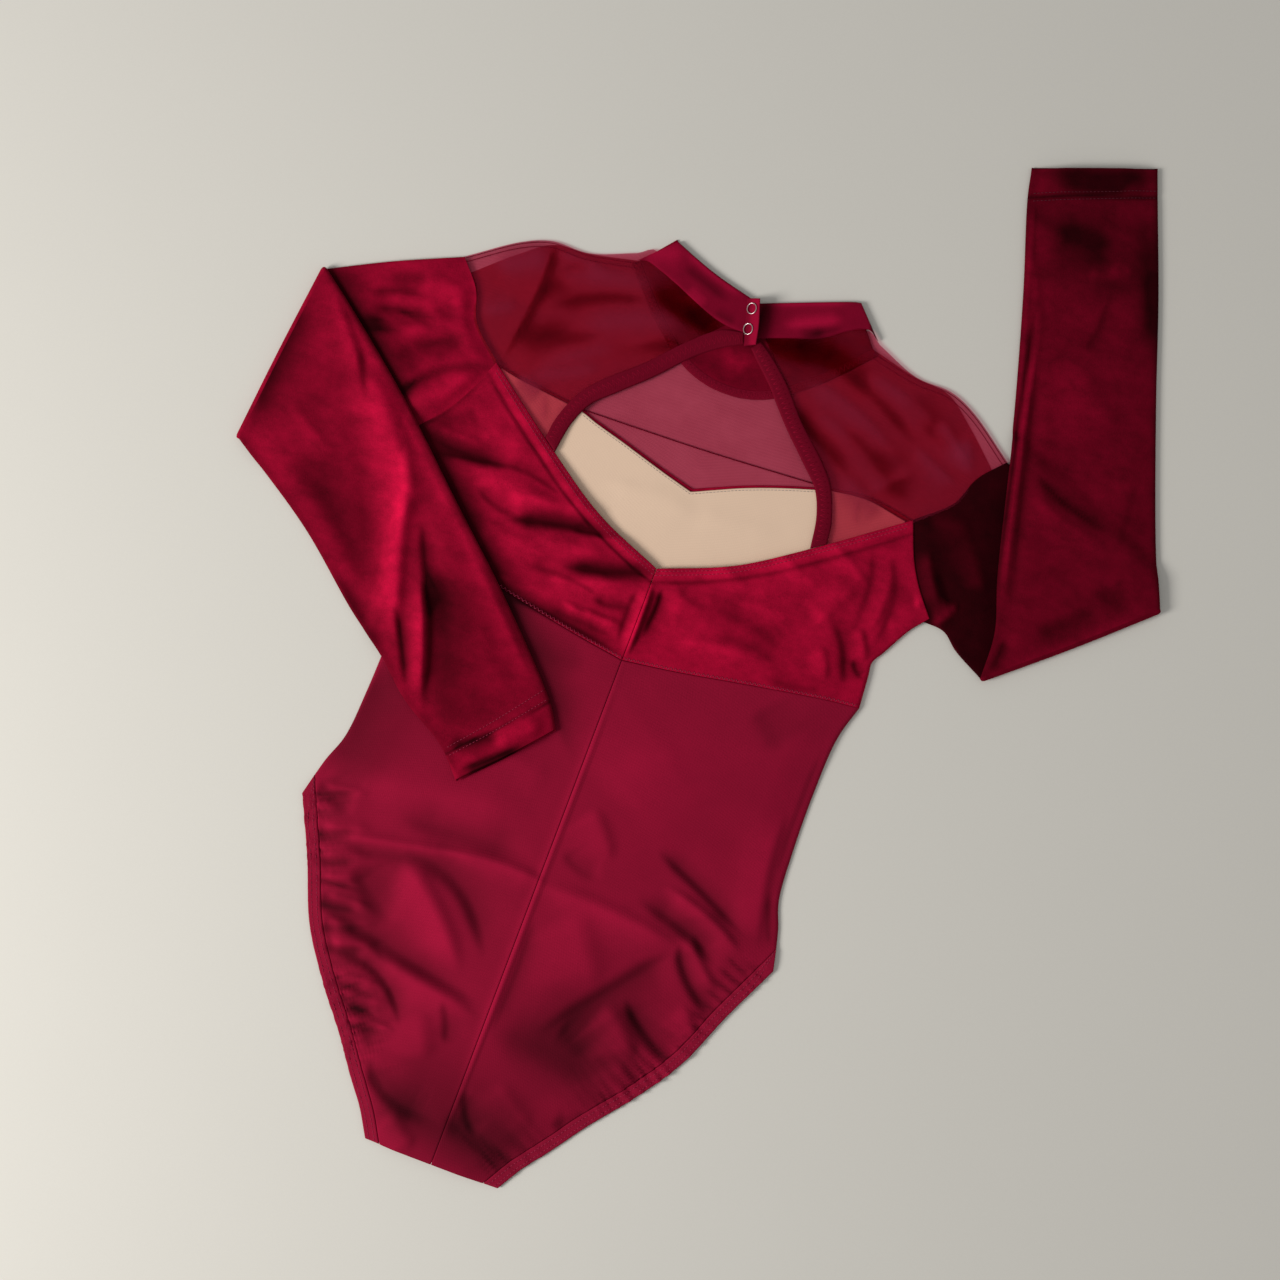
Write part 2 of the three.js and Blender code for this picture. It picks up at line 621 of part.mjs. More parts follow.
// Both faces of the wall, closed by a rim at the armhole and one at the cuff
function sleeveGeometry(sleeve) {
  const stations = sleeveStations(sleeve);
  const outer = stations.map((station) => sleeveRing(station, sleeve.creases, 0));
  const inner = stations.map((station) => sleeveRing(station, sleeve.creases, sleeveWall));
  const around = outer[0].length;
  const points = outer.flat().concat(inner.flat());
  const innerStart = outer.length * around;
  const faces = [];
  const quad = (a, b, c, d) => faces.push([a, b, c], [a, c, d]);
  for (let s = 0; s < stations.length - 1; s += 1) {
    for (let k = 0; k < around; k += 1) {
      const next = (k + 1) % around;
      const [a, b] = [s * around + k, s * around + next];
      quad(a, b, b + around, a + around);
      quad(innerStart + a, innerStart + a + around, innerStart + b + around, innerStart + b);
    }
  }
  for (const s of [0, stations.length - 1]) {
    for (let k = 0; k < around; k += 1) {
      const next = (k + 1) % around;
      const [a, b] = [s * around + k, s * around + next];
      if (s === 0) quad(b, a, innerStart + a, innerStart + b);
      else quad(a, b, innerStart + b, innerStart + a);
    }
  }
  const facing = signedVolume(points, faces) > 0 ? faces : faces.map(([a, b, c]) => [a, c, b]);
  return geometryFrom(points, facing.flat());
}
addPiece('sleeve_left', 'velvet', sleeveGeometry(sleeves.left));
addPiece('sleeve_right', 'velvet', sleeveGeometry(sleeves.right));

// The origin is on the floor under the middle of the laid-out garment
const middle = new THREE.Box3().setFromObject(leotard, true).getCenter(new THREE.Vector3());
leotard.position.set(-middle.x, -middle.y, 0);

export default leotard;
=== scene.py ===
import math

import bpy
import numpy as np
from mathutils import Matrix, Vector


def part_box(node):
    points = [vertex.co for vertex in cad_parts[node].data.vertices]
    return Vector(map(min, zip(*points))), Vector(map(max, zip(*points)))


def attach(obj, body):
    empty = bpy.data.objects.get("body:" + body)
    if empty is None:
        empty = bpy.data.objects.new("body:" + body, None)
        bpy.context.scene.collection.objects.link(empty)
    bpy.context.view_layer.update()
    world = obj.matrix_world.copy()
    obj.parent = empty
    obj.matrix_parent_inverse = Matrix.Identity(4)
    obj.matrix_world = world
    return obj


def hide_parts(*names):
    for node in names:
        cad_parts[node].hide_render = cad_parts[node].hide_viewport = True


# A long-sleeved leotard, laid flat with its back up.
# Lines and tables are in drafting millimetres: x = 0 is the centre-back seam, y = 0 the crotch,
# and +y runs to the collar. shiftX and shiftY take them to the frame.
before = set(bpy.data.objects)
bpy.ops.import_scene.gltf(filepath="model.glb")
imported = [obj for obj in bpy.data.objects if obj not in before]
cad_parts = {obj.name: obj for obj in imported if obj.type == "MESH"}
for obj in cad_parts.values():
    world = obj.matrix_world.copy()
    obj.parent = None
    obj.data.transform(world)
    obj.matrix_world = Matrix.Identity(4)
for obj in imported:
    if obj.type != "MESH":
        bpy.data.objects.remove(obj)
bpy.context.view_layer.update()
millimetre = 0.001
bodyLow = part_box("front_body")[0]
shiftX = bodyLow.x / millimetre + 177.4
shiftY = bodyLow.y / millimetre
print("frame loaded")


# Smooth step from 0 at low to 1 at high
def ramp(low, high, value):
    share = np.clip((value - low) / (high - low), 0, 1)
    return share * share * (3 - 2 * share)


# Quarter-circle profile: 0 at an edge, 1 from the radius inwards
def rounded(distance, radius):
    return np.sqrt(1 - (1 - np.clip(distance / radius, 0, 1)) ** 2)


# A drawn line, kept as close points and read by the share of its length
class Line:
    def __init__(self, points):
        self.points = np.asarray(points, float)
        steps = np.linalg.norm(np.diff(self.points, axis=0), axis=1)
        self.reach = np.concatenate([[0], np.cumsum(steps)])
        self.length = self.reach[-1]

    def at(self, share):
        where = np.asarray(share, float) * self.length
        return np.stack([np.interp(where, self.reach, self.points[:, k]) for k in (0, 1)], axis=-1)

    # Points moved to the left of the direction of travel
    def aside(self, distance):
        step = np.gradient(self.points, axis=0)
        step /= np.linalg.norm(step, axis=1, keepdims=True)
        return Line(self.points + distance * np.stack([-step[:, 1], step[:, 0]], axis=1))

    def mirrored(self):
        return Line(self.points * (-1, 1))

    def reversed(self):
        return Line(self.points[::-1])


# Centripetal Catmull-Rom line: each stretch is a cubic whose end slopes come from its neighbours
def smooth(rows):
    p = np.asarray(rows, float)
    p = np.vstack([2 * p[0] - p[1], p, 2 * p[-1] - p[-2]])
    p0, p1, p2, p3 = p[:-3], p[1:-2], p[2:-1], p[3:]
    d0, d1, d2 = (np.sqrt(np.linalg.norm(b - a, axis=1, keepdims=True)) for a, b in ((p0, p1), (p1, p2), (p2, p3)))
    m1 = ((p1 - p0) / d0 - (p2 - p0) / (d0 + d1) + (p2 - p1) / d1) * d1
    m2 = ((p2 - p1) / d1 - (p3 - p1) / (d1 + d2) + (p3 - p2) / d2) * d1
    t = np.linspace(0, 1, 24, endpoint=False)[None, :, None]
    a, b, c, d = p1[:, None], m1[:, None], (3 * (p2 - p1) - 2 * m1 - m2)[:, None], (2 * (p1 - p2) + m1 + m2)[:, None]
    curve = a + b * t + c * t**2 + d * t**3
    return Line(np.vstack([curve.reshape(-1, 2), p2[-1]]))


def chain(*lines):
    return Line(np.vstack([lines[0].points] + [line.points[1:] for line in lines[1:]]))


# A half's line carried on across the middle: the mirror image first, then the half itself
def acrossMiddle(line):
    return chain(line.mirrored().reversed(), line)


def straight(*points):
    return Line(points)


def moved(rows, dx, dy):
    return [(x + dx, y + dy) for x, y in rows]


# Shares of a length: even steps, with extra lines close to both ends so that edges can turn round
edgeLines = np.array([0.0, 0.15, 0.45, 0.9, 1.5, 2.3, 3.2])


def spread(length, step):
    count = max(2, round((length - 2 * edgeLines[-1]) / step))
    middle = np.linspace(edgeLines[-1], length - edgeLines[-1], count + 1)
    return np.unique(np.concatenate([edgeLines, middle, length - edgeLines])) / length


# Four-sided patch between its boundary lines: the two ruled surfaces less the bilinear one
def patch(bottom, top, left, right, across, up):
    u, v = across[None, :, None], up[:, None, None]
    b, t = bottom.at(across)[None], top.at(across)[None]
    l, r = left.at(up)[:, None], right.at(up)[:, None]
    corners = (1 - v) * ((1 - u) * b[:, :1] + u * b[:, -1:]) + v * ((1 - u) * t[:, :1] + u * t[:, -1:])
    return (1 - v) * b + v * t + (1 - u) * l + u * r - corners


# Patch whose left and right sides are straight
def ruledPatch(bottom, top, across, up):
    left = straight(bottom.points[0], top.points[0])
    right = straight(bottom.points[-1], top.points[-1])
    return patch(bottom, top, left, right, across, up)


# Distance of each grid point from the four sides, measured along the grid's own lines
def sideDistances(grid):
    acrossSteps = np.linalg.norm(np.diff(grid, axis=1), axis=2)
    upSteps = np.linalg.norm(np.diff(grid, axis=0), axis=2)
    fromLeft = np.pad(np.cumsum(acrossSteps, axis=1), ((0, 0), (1, 0)))
    fromBottom = np.pad(np.cumsum(upSteps, axis=0), ((1, 0), (0, 0)))
    return {
        "left": fromLeft,
        "right": fromLeft[:, -1:] - fromLeft,
        "bottom": fromBottom,
        "top": fromBottom[-1:] - fromBottom,
    }


# Distance inside a closed outline, negative outside: nearest edge, with a crossing count for the sign
def insideLoop(outline, x, y):
    a = np.asarray(outline, float)
    b = np.roll(a, -1, axis=0)
    q = np.stack([x.ravel(), y.ravel()], axis=1)[:, None]
    edge = (b - a)[None]
    share = np.clip(((q - a) * edge).sum(2) / np.maximum((edge**2).sum(2), 1e-9), 0, 1)
    away = np.linalg.norm(q - a - share[..., None] * edge, axis=2).min(1)
    over = (a[:, 1] > q[..., 1]) != (b[:, 1] > q[..., 1])
    slope = (b[:, 0] - a[:, 0]) / np.where(b[:, 1] == a[:, 1], 1e-9, b[:, 1] - a[:, 1])
    hits = over & (q[..., 0] < a[:, 0] + (q[..., 1] - a[:, 1]) * slope)
    inside = hits.sum(1) % 2 == 1
    return np.where(inside, away, -away).reshape(x.shape)


# The way to the light, on the drafting plane
lightWay = np.array([-0.93, -0.36])
bell = {"steps": 13, "reach": 4, "taper": 0.28, "narrow": 0.5, "wide": 1.15, "lean": 0.6, "leanRate": 1.6, "power": 1.7}


# Sum of soft strokes: each a bell of the distance from a bowed line through three points, tapering
# at both ends. A ridge runs out softly towards the light and ends sharply away from it, a hollow the other way.
# Read with the tone column, the strokes are painted shade in hollows and painted highlights on ridges
def strokes(rows, x, y, column="height"):
    field = np.zeros(x.shape)
    t = np.linspace(0, 1, bell["steps"])[:, None]
    for x1, y1, x2, y2, x3, y3, width, height, tone in rows:
        amount = tone if column == "tone" else height
        if amount == 0:
            continue
        p1, p3 = np.array([x1, y1]), np.array([x3, y3])
        bend = 2 * np.array([x2, y2]) - (p1 + p3) / 2
        path = (1 - t) ** 2 * p1 + 2 * t * (1 - t) * bend + t**2 * p3
        low, high = path.min(0) - bell["reach"] * width, path.max(0) + bell["reach"] * width
        near = (x > low[0]) & (x < high[0]) & (y > low[1]) & (y < high[1])
        if not near.any():
            continue
        q = np.stack([x[near], y[near]], axis=1)[:, None]
        a, edge = path[:-1][None], np.diff(path, axis=0)[None]
        share = np.clip(((q - a) * edge).sum(2) / (edge**2).sum(2), 0, 1)
        offset = q - a - share[..., None] * edge
        away = np.linalg.norm(offset, axis=2)
        nearest = away.argmin(1)
        pick = np.arange(len(nearest))
        lean = (offset[pick, nearest] @ lightWay) / width
        along = (nearest + share[pick, nearest]) / (len(path) - 1)
        fade = ramp(0, bell["taper"], along) * ramp(1, 1 - bell["taper"], along)
        skew = bell["wide"] + bell["lean"] * np.tanh(bell["leanRate"] * lean * np.sign(amount))
        reach = width * (bell["narrow"] + (1 - bell["narrow"]) * fade) * skew
        field[near] += amount * fade * np.exp(-((away[pick, nearest] / reach) ** bell["power"]))
    return field


# Outlines of the right half; the left half is its mirror image
legEdge = smooth([(51, 0), (63, 20), (76, 37), (96, 65), (119, 94), (143, 130), (161, 173), (181, 216)])
legBandWidth = 9.5
legCorner = (177.4, 232)
bodySide = smooth([(177.4, 232), (174, 245), (167, 265), (164, 300), (163, 345), (165, 389), (172, 415)])
bandBottomRows = [(0, 387), (40, 393), (94, 403), (146, 412), (172, 415)]
bandBottom = smooth(bandBottomRows)
bandSide = smooth([(172, 415), (170, 438), (169, 449), (174, 458), (186, 480), (196, 493)])
armholeLow = smooth([(196, 493), (182, 510), (171, 528), (160, 555)])
armholeHigh = smooth([(160, 555), (184, 577), (193, 599), (209, 618)])
vEdgeRows = [(0, 457), (52, 479), (99, 510), (160, 555)]
vEdge = smooth(vEdgeRows)
shoulder = smooth([(90, 659), (126, 652), (153, 651), (173, 643), (209, 618)])
bindingInnerRows = [(28, 610), (51, 585), (73, 564), (86, 551), (94, 533), (98, 509.4)]
bindingOuterRows = [(40, 615), (60, 593), (86, 569), (97, 555), (106, 532), (108, 516.6)]
neckSeam = smooth([(13, 641), (30, 648), (46, 654), (60, 661), (75, 669), (84, 671), (92, 665)])
sweetheartPoint = (3.7, 517.5)
sweetheartLeft = [(-160, 552.4), (-143, 549.5), (-92, 543.5), (-81, 540), (-56, 533.5), (-40, 529), (-18, 523),
                  sweetheartPoint]
sweetheartRight = [sweetheartPoint, (20, 525), (38, 533), (62, 542), (88, 550.3), (99, 553.5), (127, 557), (160, 552.4)]
insertSeamRows = [(-92, 545.4), (-40, 547.2), (4, 549), (88, 554.6)]
neckFront = smooth([(0, 598), (12, 599), (31, 605.5), (60, 628), (90, 660)])
neckFrontTop = smooth([(0, 656), (26, 660), (50, 668), (70, 684)])
torsoHeights = [0, 37, 94, 130, 173, 216, 245, 300, 389, 417, 449, 480, 493, 528, 555, 577, 618, 643, 652, 662, 686]
torsoHalves = [51, 76, 119, 143, 161, 181, 174, 164, 165, 172, 169, 186, 196, 171, 160, 184, 209, 173, 130, 90, 70]


# Sweetheart edge between two places, moved up by a rise, with its point kept sharp
def sweetheart(rise, low=-161, high=161):
    halves = []
    for rows in (sweetheartLeft, sweetheartRight):
        kept = [row for row in rows if low < row[0] < high]
        halves.append(smooth(moved(kept, 0, rise)))
    return chain(*halves)


# The leg edge moved inwards, with its ends brought to the crotch line and the side seam
def legInset(distance, cornerDrop):
    points = legEdge.at(np.linspace(0, 1, 15))
    step = np.gradient(points, axis=0)
    step /= np.linalg.norm(step, axis=1, keepdims=True)
    line = points + distance * np.stack([-step[:, 1], step[:, 0]], axis=1)
    slope = (line[1, 0] - line[0, 0]) / (line[1, 1] - line[0, 1])
    line[0] = (line[0, 0] - line[0, 1] * slope, 0)
    line[-1] = (legCorner[0], legCorner[1] - cornerDrop)
    return smooth(line)


legBandInner = legInset(legBandWidth, 0.3)
legSeam = legInset(legBandWidth + 0.3, 0)
bodyEdge = chain(legSeam, bodySide)

# How high things lie, in millimetres
heights = {
    "clothThickness": 0.9,
    "backSeat": 1.5,  # underside of the back layer at its edges
    "liningStep": 1.3,  # more where the lining lies between
    "backLoft": 3.0,  # how far the back stands off the front
    "loftEdge": 34,
    "folded": 0.6,  # between a forearm and what it lies on
    "liningLow": (340, 385),  # where the lining's lift begins and is whole, going up
    "liningHigh": (605, 575),  # and where it ends, going down
    "loftTop": (560, 470),
    "foldEdge": 16,  # folds flatten this near to the torso's outline
    "foldTop": (575, 520),
}

# Folds of the back layer: x y at the start, middle and end, width, height, and what it adds to the tone. The tone
# column is painted shade in hollows and painted highlights on ridges; rows of no height are broad painted shade or
# light
bodyFolds = [
    (-150, 240, -86, 251, -15, 262, 14, 1.8, 0.16),
    (-112, 226, -60, 230, -8, 232, 9, -2.2, -0.22),
    (-172, 232, -158, 222, -140, 216, 8, -1.6, -0.25),
    (-146, 198, -103, 207, -40, 219, 4, 2.4, 0.22),
    (-76, 214, -30, 219, 8, 217, 5, 2.2, 0.2),
    (-140, 192, -110, 198, -70, 207, 6, -1.6, -0.22),
    (-98, 203, -50, 194, -14, 150, 9, -3.0, -0.3),
    (-98, 196, -64, 173, -28, 132, 11, 2.8, 0.38),
    (-126, 184, -110, 168, -84, 152, 11, -2.4, -0.26),
    (-146, 154, -94, 138, 2, 120, 8, -2.8, -0.3),
    (-96, 124, -50, 119, -3, 108, 8, 2.6, 0.22),
    (-128, 128, -108, 130, -80, 122, 6, 1.4, 0.12),
    (-126, 118, -84, 116, -54, 84, 6, -2.6, -0.34),
    (-34, 116, -24, 100, -20, 84, 6, -1.4, -0.16),
    (-50, 100, -40, 84, -34, 66, 13, 1.6, 0.14),
    (-100, 96, -80, 80, -66, 60, 9, -1.8, -0.28),
    (-66, 58, -46, 36, 0, 31, 8, -2.4, -0.42),
    (-4, 34, 26, 29, 66, 12, 10, -1.6, -0.36),
    (-44, 24, -30, 14, -16, 4, 9, 1.2, 0.14),
    (2.5, 405, 2.5, 200, 2.5, 12, 2.2, 0.9, 0.22),
    (130, 160, 80, 130, 50, 70, 40, 0, -0.12),
    (8, 196, 10, 150, 8, 100, 5, -1.0, -0.24),
    (6, 62, 12, 44, 26, 30, 6, -1.2, -0.2),
    (60, 350, 40, 320, 24, 290, 30, 0.8, 0.1),
    (104, 392, 118, 380, 134, 366, 13, -0.8, -0.16),
    (16, 280, 30, 266, 44, 246, 9, 1.6, 0.12),
    (10, 246, 24, 238, 44, 236, 6, -1.0, -0.12),
    (72, 270, 112, 254, 156, 232, 5.5, -2.6, -0.34),
    (84, 246, 122, 236, 156, 218, 5, 2.4, 0.16),
    (70, 232, 112, 222, 142, 205, 6.5, -2.6, -0.36),
    (-4, 214, 56, 215, 116, 207, 7, 2.2, 0.2),
    (112, 206, 80, 164, 38, 112, 8, -3.0, -0.36),
    (100, 150, 84, 128, 76, 96, 22, 0, -0.1),
    (28, 206, 46, 184, 64, 156, 17, 2.0, 0.14),
    (4, 104, 50, 108, 100, 96, 15, -1.4, -0.24),
    (52, 128, 66, 122, 84, 112, 12, -1.2, -0.2),
    (112, 214, 126, 190, 160, 166, 6, -2.8, -0.42),
    (114, 222, 128, 204, 150, 186, 5, 2.0, 0.1),
    (74, 150, 92, 138, 108, 118, 11, 2.8, 0.26),
    (88, 163, 112, 143, 144, 128, 6.5, -2.8, -0.4),
    (126, 172, 140, 158, 150, 146, 6, 1.6, 0.12),
    (96, 118, 108, 104, 112, 92, 9, 1.4, 0.12),
    (70, 58, 86, 64, 100, 76, 6, -1.4, -0.28),
    (22, 74, 40, 60, 60, 50, 9, 1.0, 0.08),
    (148, 330, 150, 280, 164, 224, 8, 1.6, 0.2),
    (159, 384, 158, 330, 160, 280, 3.5, -1.0, -0.1),
    (158, 272, 166, 250, 174, 230, 3.5, -1.0, -0.1),
    (-158, 330, -162, 280, -176, 232, 5, -0.8, -0.2),
    (-60, 300, -40, 290, -16, 290, 10, 0.6, 0.06),
    (-146, 350, -152, 285, -162, 226, 15, 0, -0.3),
    (-60, 26, 0, 28, 76, 8, 24, 0, -0.5),
    (10, 116, 66, 104, 122, 90, 30, 0, -0.26),
    (20, 64, 50, 40, 84, 30, 18, 0, -0.16),
    (-150, 210, -116, 150, -80, 60, 22, 0, -0.1),
    (-20, 378, -50, 372, -84, 372, 9, 0, -0.2),
    (90, 300, 60, 320, 40, 350, 34, 0, 0.08),
    (112, 236, 118, 226, 122, 214, 26, 0, -0.14),
]
# Gathers: hollows inside the left leg band with painted shade in them and painted highlights beside them; fine creases
# at the right with painted shade
hollows = [(164, 222), (153, 196), (147, 177), (142, 163), (133, 148), (125, 133), (118, 120), (107, 98), (97, 86),
           (86, 72)]
bodyFolds += [(-x - 10, y - 3, 3 - x, y + 1, 26 - x, y + 6 + 7 * math.sin(y), 2.6 + math.sin(2 * y), -2.0, -0.34)
              for x, y in hollows]
bodyFolds += [(-x - 6, y + 6, 10 - x, y + 8, 30 - x, y + 14 + 6 * math.cos(y), 3.0, 1.2, 0.12) for x, y in hollows]
bodyFolds.append((-122, 424, -66, 371, -4, 306, 8, 0, -0.6))  # shade beside the forearm
bodyFolds += [(168 - k * 0.9, 208 - 9 * k, 158 - k, 210 - 9 * k, 144 - 2 * k, 216 - 9 * k, 1.6, -0.9, -0.24)
              for k in range(9)]
# Folds of the velvet band, columns as for the body: the tone column is painted shade in crevices and painted highlights
# on ridges
bandFolds = [
    (1.5, 447, 2, 420, 2, 389, 3.2, 3.4, 0.28),
    (9, 446, 11, 430, 8, 404, 4, -2.4, -0.5),
    (-6, 440, -7, 420, -6, 396, 4, -1.4, -0.25),
    (-214, 482, -168, 485, -112, 490, 4.5, -3.0, -1.5),
    (-196, 498, -170, 496, -140, 496, 4, 1.0, 0.1),
    (-150, 474, -116, 476, -76, 470, 8, 1.8, 0.24),
    (-128, 490, -104, 489, -80, 482, 3.5, -1.2, -0.3),
    (-112, 452, -76, 463, -24, 471, 4.5, -3.0, -1.3),
    (-66, 462, -52, 466, -34, 466, 3, -0.6, -0.25),
    (-90, 447, -64, 450, -34, 455, 5, 1.6, 0.16),
    (-66, 434, -28, 445, 8, 458, 4.5, -2.8, -1.3),
    (-118, 405, -56, 400, 6, 389, 4, -1.6, -0.9),
    (-120, 470, -90, 474, -40, 482, 5, 1.6, 0.2),
    (-70, 424, -44, 430, -6, 442, 4.5, 2.0, 0.3),
    (-56, 412, -34, 408, -4, 410, 4, 1.6, 0.3),
    (-130, 446, -104, 440, -70, 440, 6, 1.2, 0.2),
    (-140, 468, -124, 460, -100, 458, 4, -1.0, -0.3),
    (30, 484, 50, 472, 70, 466, 5, 0.8, 0.22),
    (70, 504, 92, 492, 116, 486, 5, 0.8, 0.2),
    (30, 412, 60, 420, 100, 420, 4, 0.8, 0.2),
    (110, 520, 130, 508, 146, 500, 5, 1.0, 0.25),
    (60, 452, 84, 458, 104, 452, 5, 0.6, 0.2),
    (20, 452, 30, 446, 48, 444, 4, -0.6, -0.2),
    (-80, 432, -50, 436, -20, 436, 5, 1.2, 0.12),
    (-92, 426, -60, 430, -28, 424, 3.5, -1.2, -0.35),
    (-36, 422, -20, 422, -4, 426, 3.5, -1.4, -0.45),
    (-110, 412, -80, 412, -50, 414, 6, 1.0, 0.14),
    (-60, 402, -36, 404, -8, 400, 3.5, -1.0, -0.3),
    (-40, 412, -24, 410, -8, 412, 3, 1.0, 0.16),
    (-150, 512, -134, 506, -112, 508, 7, 1.0, 0.12),
    (-160, 520, -168, 510, -186, 500, 5, -1.0, -0.3),
    (40, 446, 76, 446, 110, 434, 7, -1.0, -0.22),
    (52, 426, 84, 430, 110, 424, 5, -0.8, -0.3),
    (16, 432, 34, 436, 56, 434, 8, 0.8, 0.1),
    (60, 470, 90, 484, 120, 500, 10, 1.2, 0.12),
    (120, 460, 128, 478, 140, 500, 7, 1.4, 0.14),
    (140, 526, 150, 500, 148, 462, 6, -1.2, -0.2),
    (152, 526, 160, 500, 158, 466, 5, 1.2, 0.1),
    (162, 518, 170, 490, 166, 456, 5, -1.0, -0.2),
    (130, 470, 148, 450, 156, 424, 6, -1.8, -0.4),
    (150, 470, 158, 458, 164, 446, 4, 1.6, 0.2),
    (156, 448, 160, 440, 168, 436, 3, -1.4, -0.5),
    (128, 448, 136, 436, 140, 424, 5, 1.2, 0.16),
    (168, 478, 178, 482, 190, 490, 5, 1.0, 0.14),
    (100, 412, 124, 414, 150, 420, 4, -0.8, -0.28),
    (182, 498, 188, 503, 193, 508, 3.5, 2.4, 0.3),
]
# Hem of the V edge: a raised strip with a groove below it, in two arcs on each side; its tone paints a highlight on the
# strip and shade in the groove
for side in (-1, 1):
    bandFolds += [(side * -16, 450, side * 50, 473.5, side * 116, 516, 2.6, 0.5, 0.2),
                  (side * 80, 492, side * 128, 525.5, side * 174, 562, 2.6, 0.5, 0.2),
                  (side * -16, 443, side * 50, 467, side * 118, 510, 1.4, -0.8, -0.4),
                  (side * 82, 486, side * 131, 520, side * 178, 558, 1.4, -0.8, -0.4)]
# Painted shadow of the forearm across the band, and painted shade in a crease at the underarm
bandFolds += [(-236, 526, -152, 453, -62, 366, 6.5, 0, -1.5), (-204, 486, -181, 507, -160, 552, 2.5, -0.8, -0.35)]
backFolds = bodyFolds + bandFolds


def insideTorso(x, y):
    return np.interp(y, torsoHeights, torsoHalves) - np.abs(x)


# Small gathers that run in from a leg's edge: a sine of the place along it that dies away inwards
# tone: the share of the gathers' wave painted as shade in their troughs and highlight on their crests
gathers = {"height": 1.9, "reach": 13.0, "spacing": 9.5, "tone": 0.8, "places": 90, "top": 300, "leftShift": 1.7,
           "slow": (0.5, 17), "quick": (0.3, 7.3), "steady": 0.55, "swell": 23, "lean": 9, "crotchEnd": (0, 30),
           "hipEnd": (250, 215)}


def legGathers(x, y):
    points = legEdge.at(np.linspace(0, 1, gathers["places"]))
    near = y < gathers["top"]
    field = np.zeros(x.shape)
    q = np.stack([np.abs(x[near]), y[near]], axis=1)[:, None]
    away = np.linalg.norm(q - points[None], axis=2)
    nearest = away.argmin(1)
    along = nearest / (gathers["places"] - 1) * legEdge.length
    side = np.where(x[near] < 0, gathers["leftShift"], 0.0)
    (slowBy, slowLength), (quickBy, quickLength) = gathers["slow"], gathers["quick"]
    wander = slowBy * np.sin(along / slowLength + side) + quickBy * np.sin(along / quickLength + 2 * side)
    phase = along / gathers["spacing"] + wander + side
    strength = gathers["steady"] + (1 - gathers["steady"]) * np.sin(along / gathers["swell"] + 2 + side)
    distance = away.min(1)
    wave = np.sin(2 * math.pi * phase + distance / gathers["lean"])
    field[near] = strength * wave * np.exp(-distance / gathers["reach"])
    return field * ramp(*gathers["crotchEnd"], y) * ramp(*gathers["hipEnd"], y)


# Underside of the back layer: on the front, higher over the lining, lofted between its edges and folded
def backBase(x, y):
    overLining = ramp(*heights["liningLow"], y) * ramp(*heights["liningHigh"], y)
    seat = heights["backSeat"] + overLining * heights["liningStep"]
    inside = insideTorso(x, y)
    room = ramp(0, heights["loftEdge"], inside) * ramp(*heights["loftTop"], y)
    folds = strokes(backFolds, x, y) * ramp(0, heights["foldEdge"], inside) * ramp(*heights["foldTop"], y)
    return seat + np.maximum(0, heights["backLoft"] * room + folds + gathers["height"] * legGathers(x, y))


def backTop(x, y):
    return backBase(x, y) + heights["clothThickness"]


# Materials: shared effects first
def addNode(tree, kind, values=None, **settings):
    node = tree.nodes.new(kind)
    for name, value in settings.items():
        setattr(node, name, value)
    for name, value in (values or {}).items():
        node.inputs[name].default_value = value
    return node


def mathNode(tree, operation, *inputs):
    node = addNode(tree, "ShaderNodeMath", operation=operation)
    for socket, value in zip(node.inputs, inputs):
        if isinstance(value, bpy.types.NodeSocket):
            tree.links.new(value, socket)
        else:
            socket.default_value = value
    return node.outputs[0]


def newGroup(name, inputs, outputs):
    group = bpy.data.node_groups.new(name, "ShaderNodeTree")
    for socket, kind, value in inputs:
        made = group.interface.new_socket(socket, in_out="INPUT", socket_type=kind)
        if value is not None:
            made.default_value = value
    for socket in outputs:
        group.interface.new_socket(socket, in_out="OUTPUT", socket_type="NodeSocketFloat")
    return group, addNode(group, "NodeGroupInput"), addNode(group, "NodeGroupOutput")


# Pile: fine grain, and soft blotches drawn out a little along x. Shade varies about 1, Height feeds a bump
noiseRoughness = 0.62
bumpDistance = 0.0006
blotchStretch = (0.85, 1.15, 1)


def pileGroup():
    inputs = [("Grain", "NodeSocketFloat", 1400.0), ("Patch", "NodeSocketFloat", 40.0),
              ("Grain Amount", "NodeSocketFloat", 0.2), ("Patch Amount", "NodeSocketFloat", 0.2)]
    group, given, result = newGroup("pile", inputs, ["Shade", "Height"])
    place = addNode(group, "ShaderNodeTexCoord")
    parts = []
    for scale, detail in (("Grain", 1.5), ("Patch", 6.0)):
        noise = addNode(group, "ShaderNodeTexNoise", {"Detail": detail, "Roughness": noiseRoughness})
        drawn = addNode(group, "ShaderNodeVectorMath", operation="MULTIPLY")
        drawn.inputs[1].default_value = (1, 1, 1) if scale == "Grain" else blotchStretch
        group.links.new(place.outputs["Object"], drawn.inputs[0])
        group.links.new(drawn.outputs[0], noise.inputs["Vector"])
        group.links.new(given.outputs[scale], noise.inputs["Scale"])
        centred = mathNode(group, "SUBTRACT", noise.outputs["Fac"], 0.5)
        parts.append(mathNode(group, "MULTIPLY", centred, given.outputs[scale + " Amount"]))
        if scale == "Grain":
            group.links.new(noise.outputs["Fac"], result.inputs["Height"])
    shade = mathNode(group, "ADD", mathNode(group, "ADD", parts[0], parts[1]), 1.0)
    group.links.new(shade, result.inputs["Shade"])
    return group


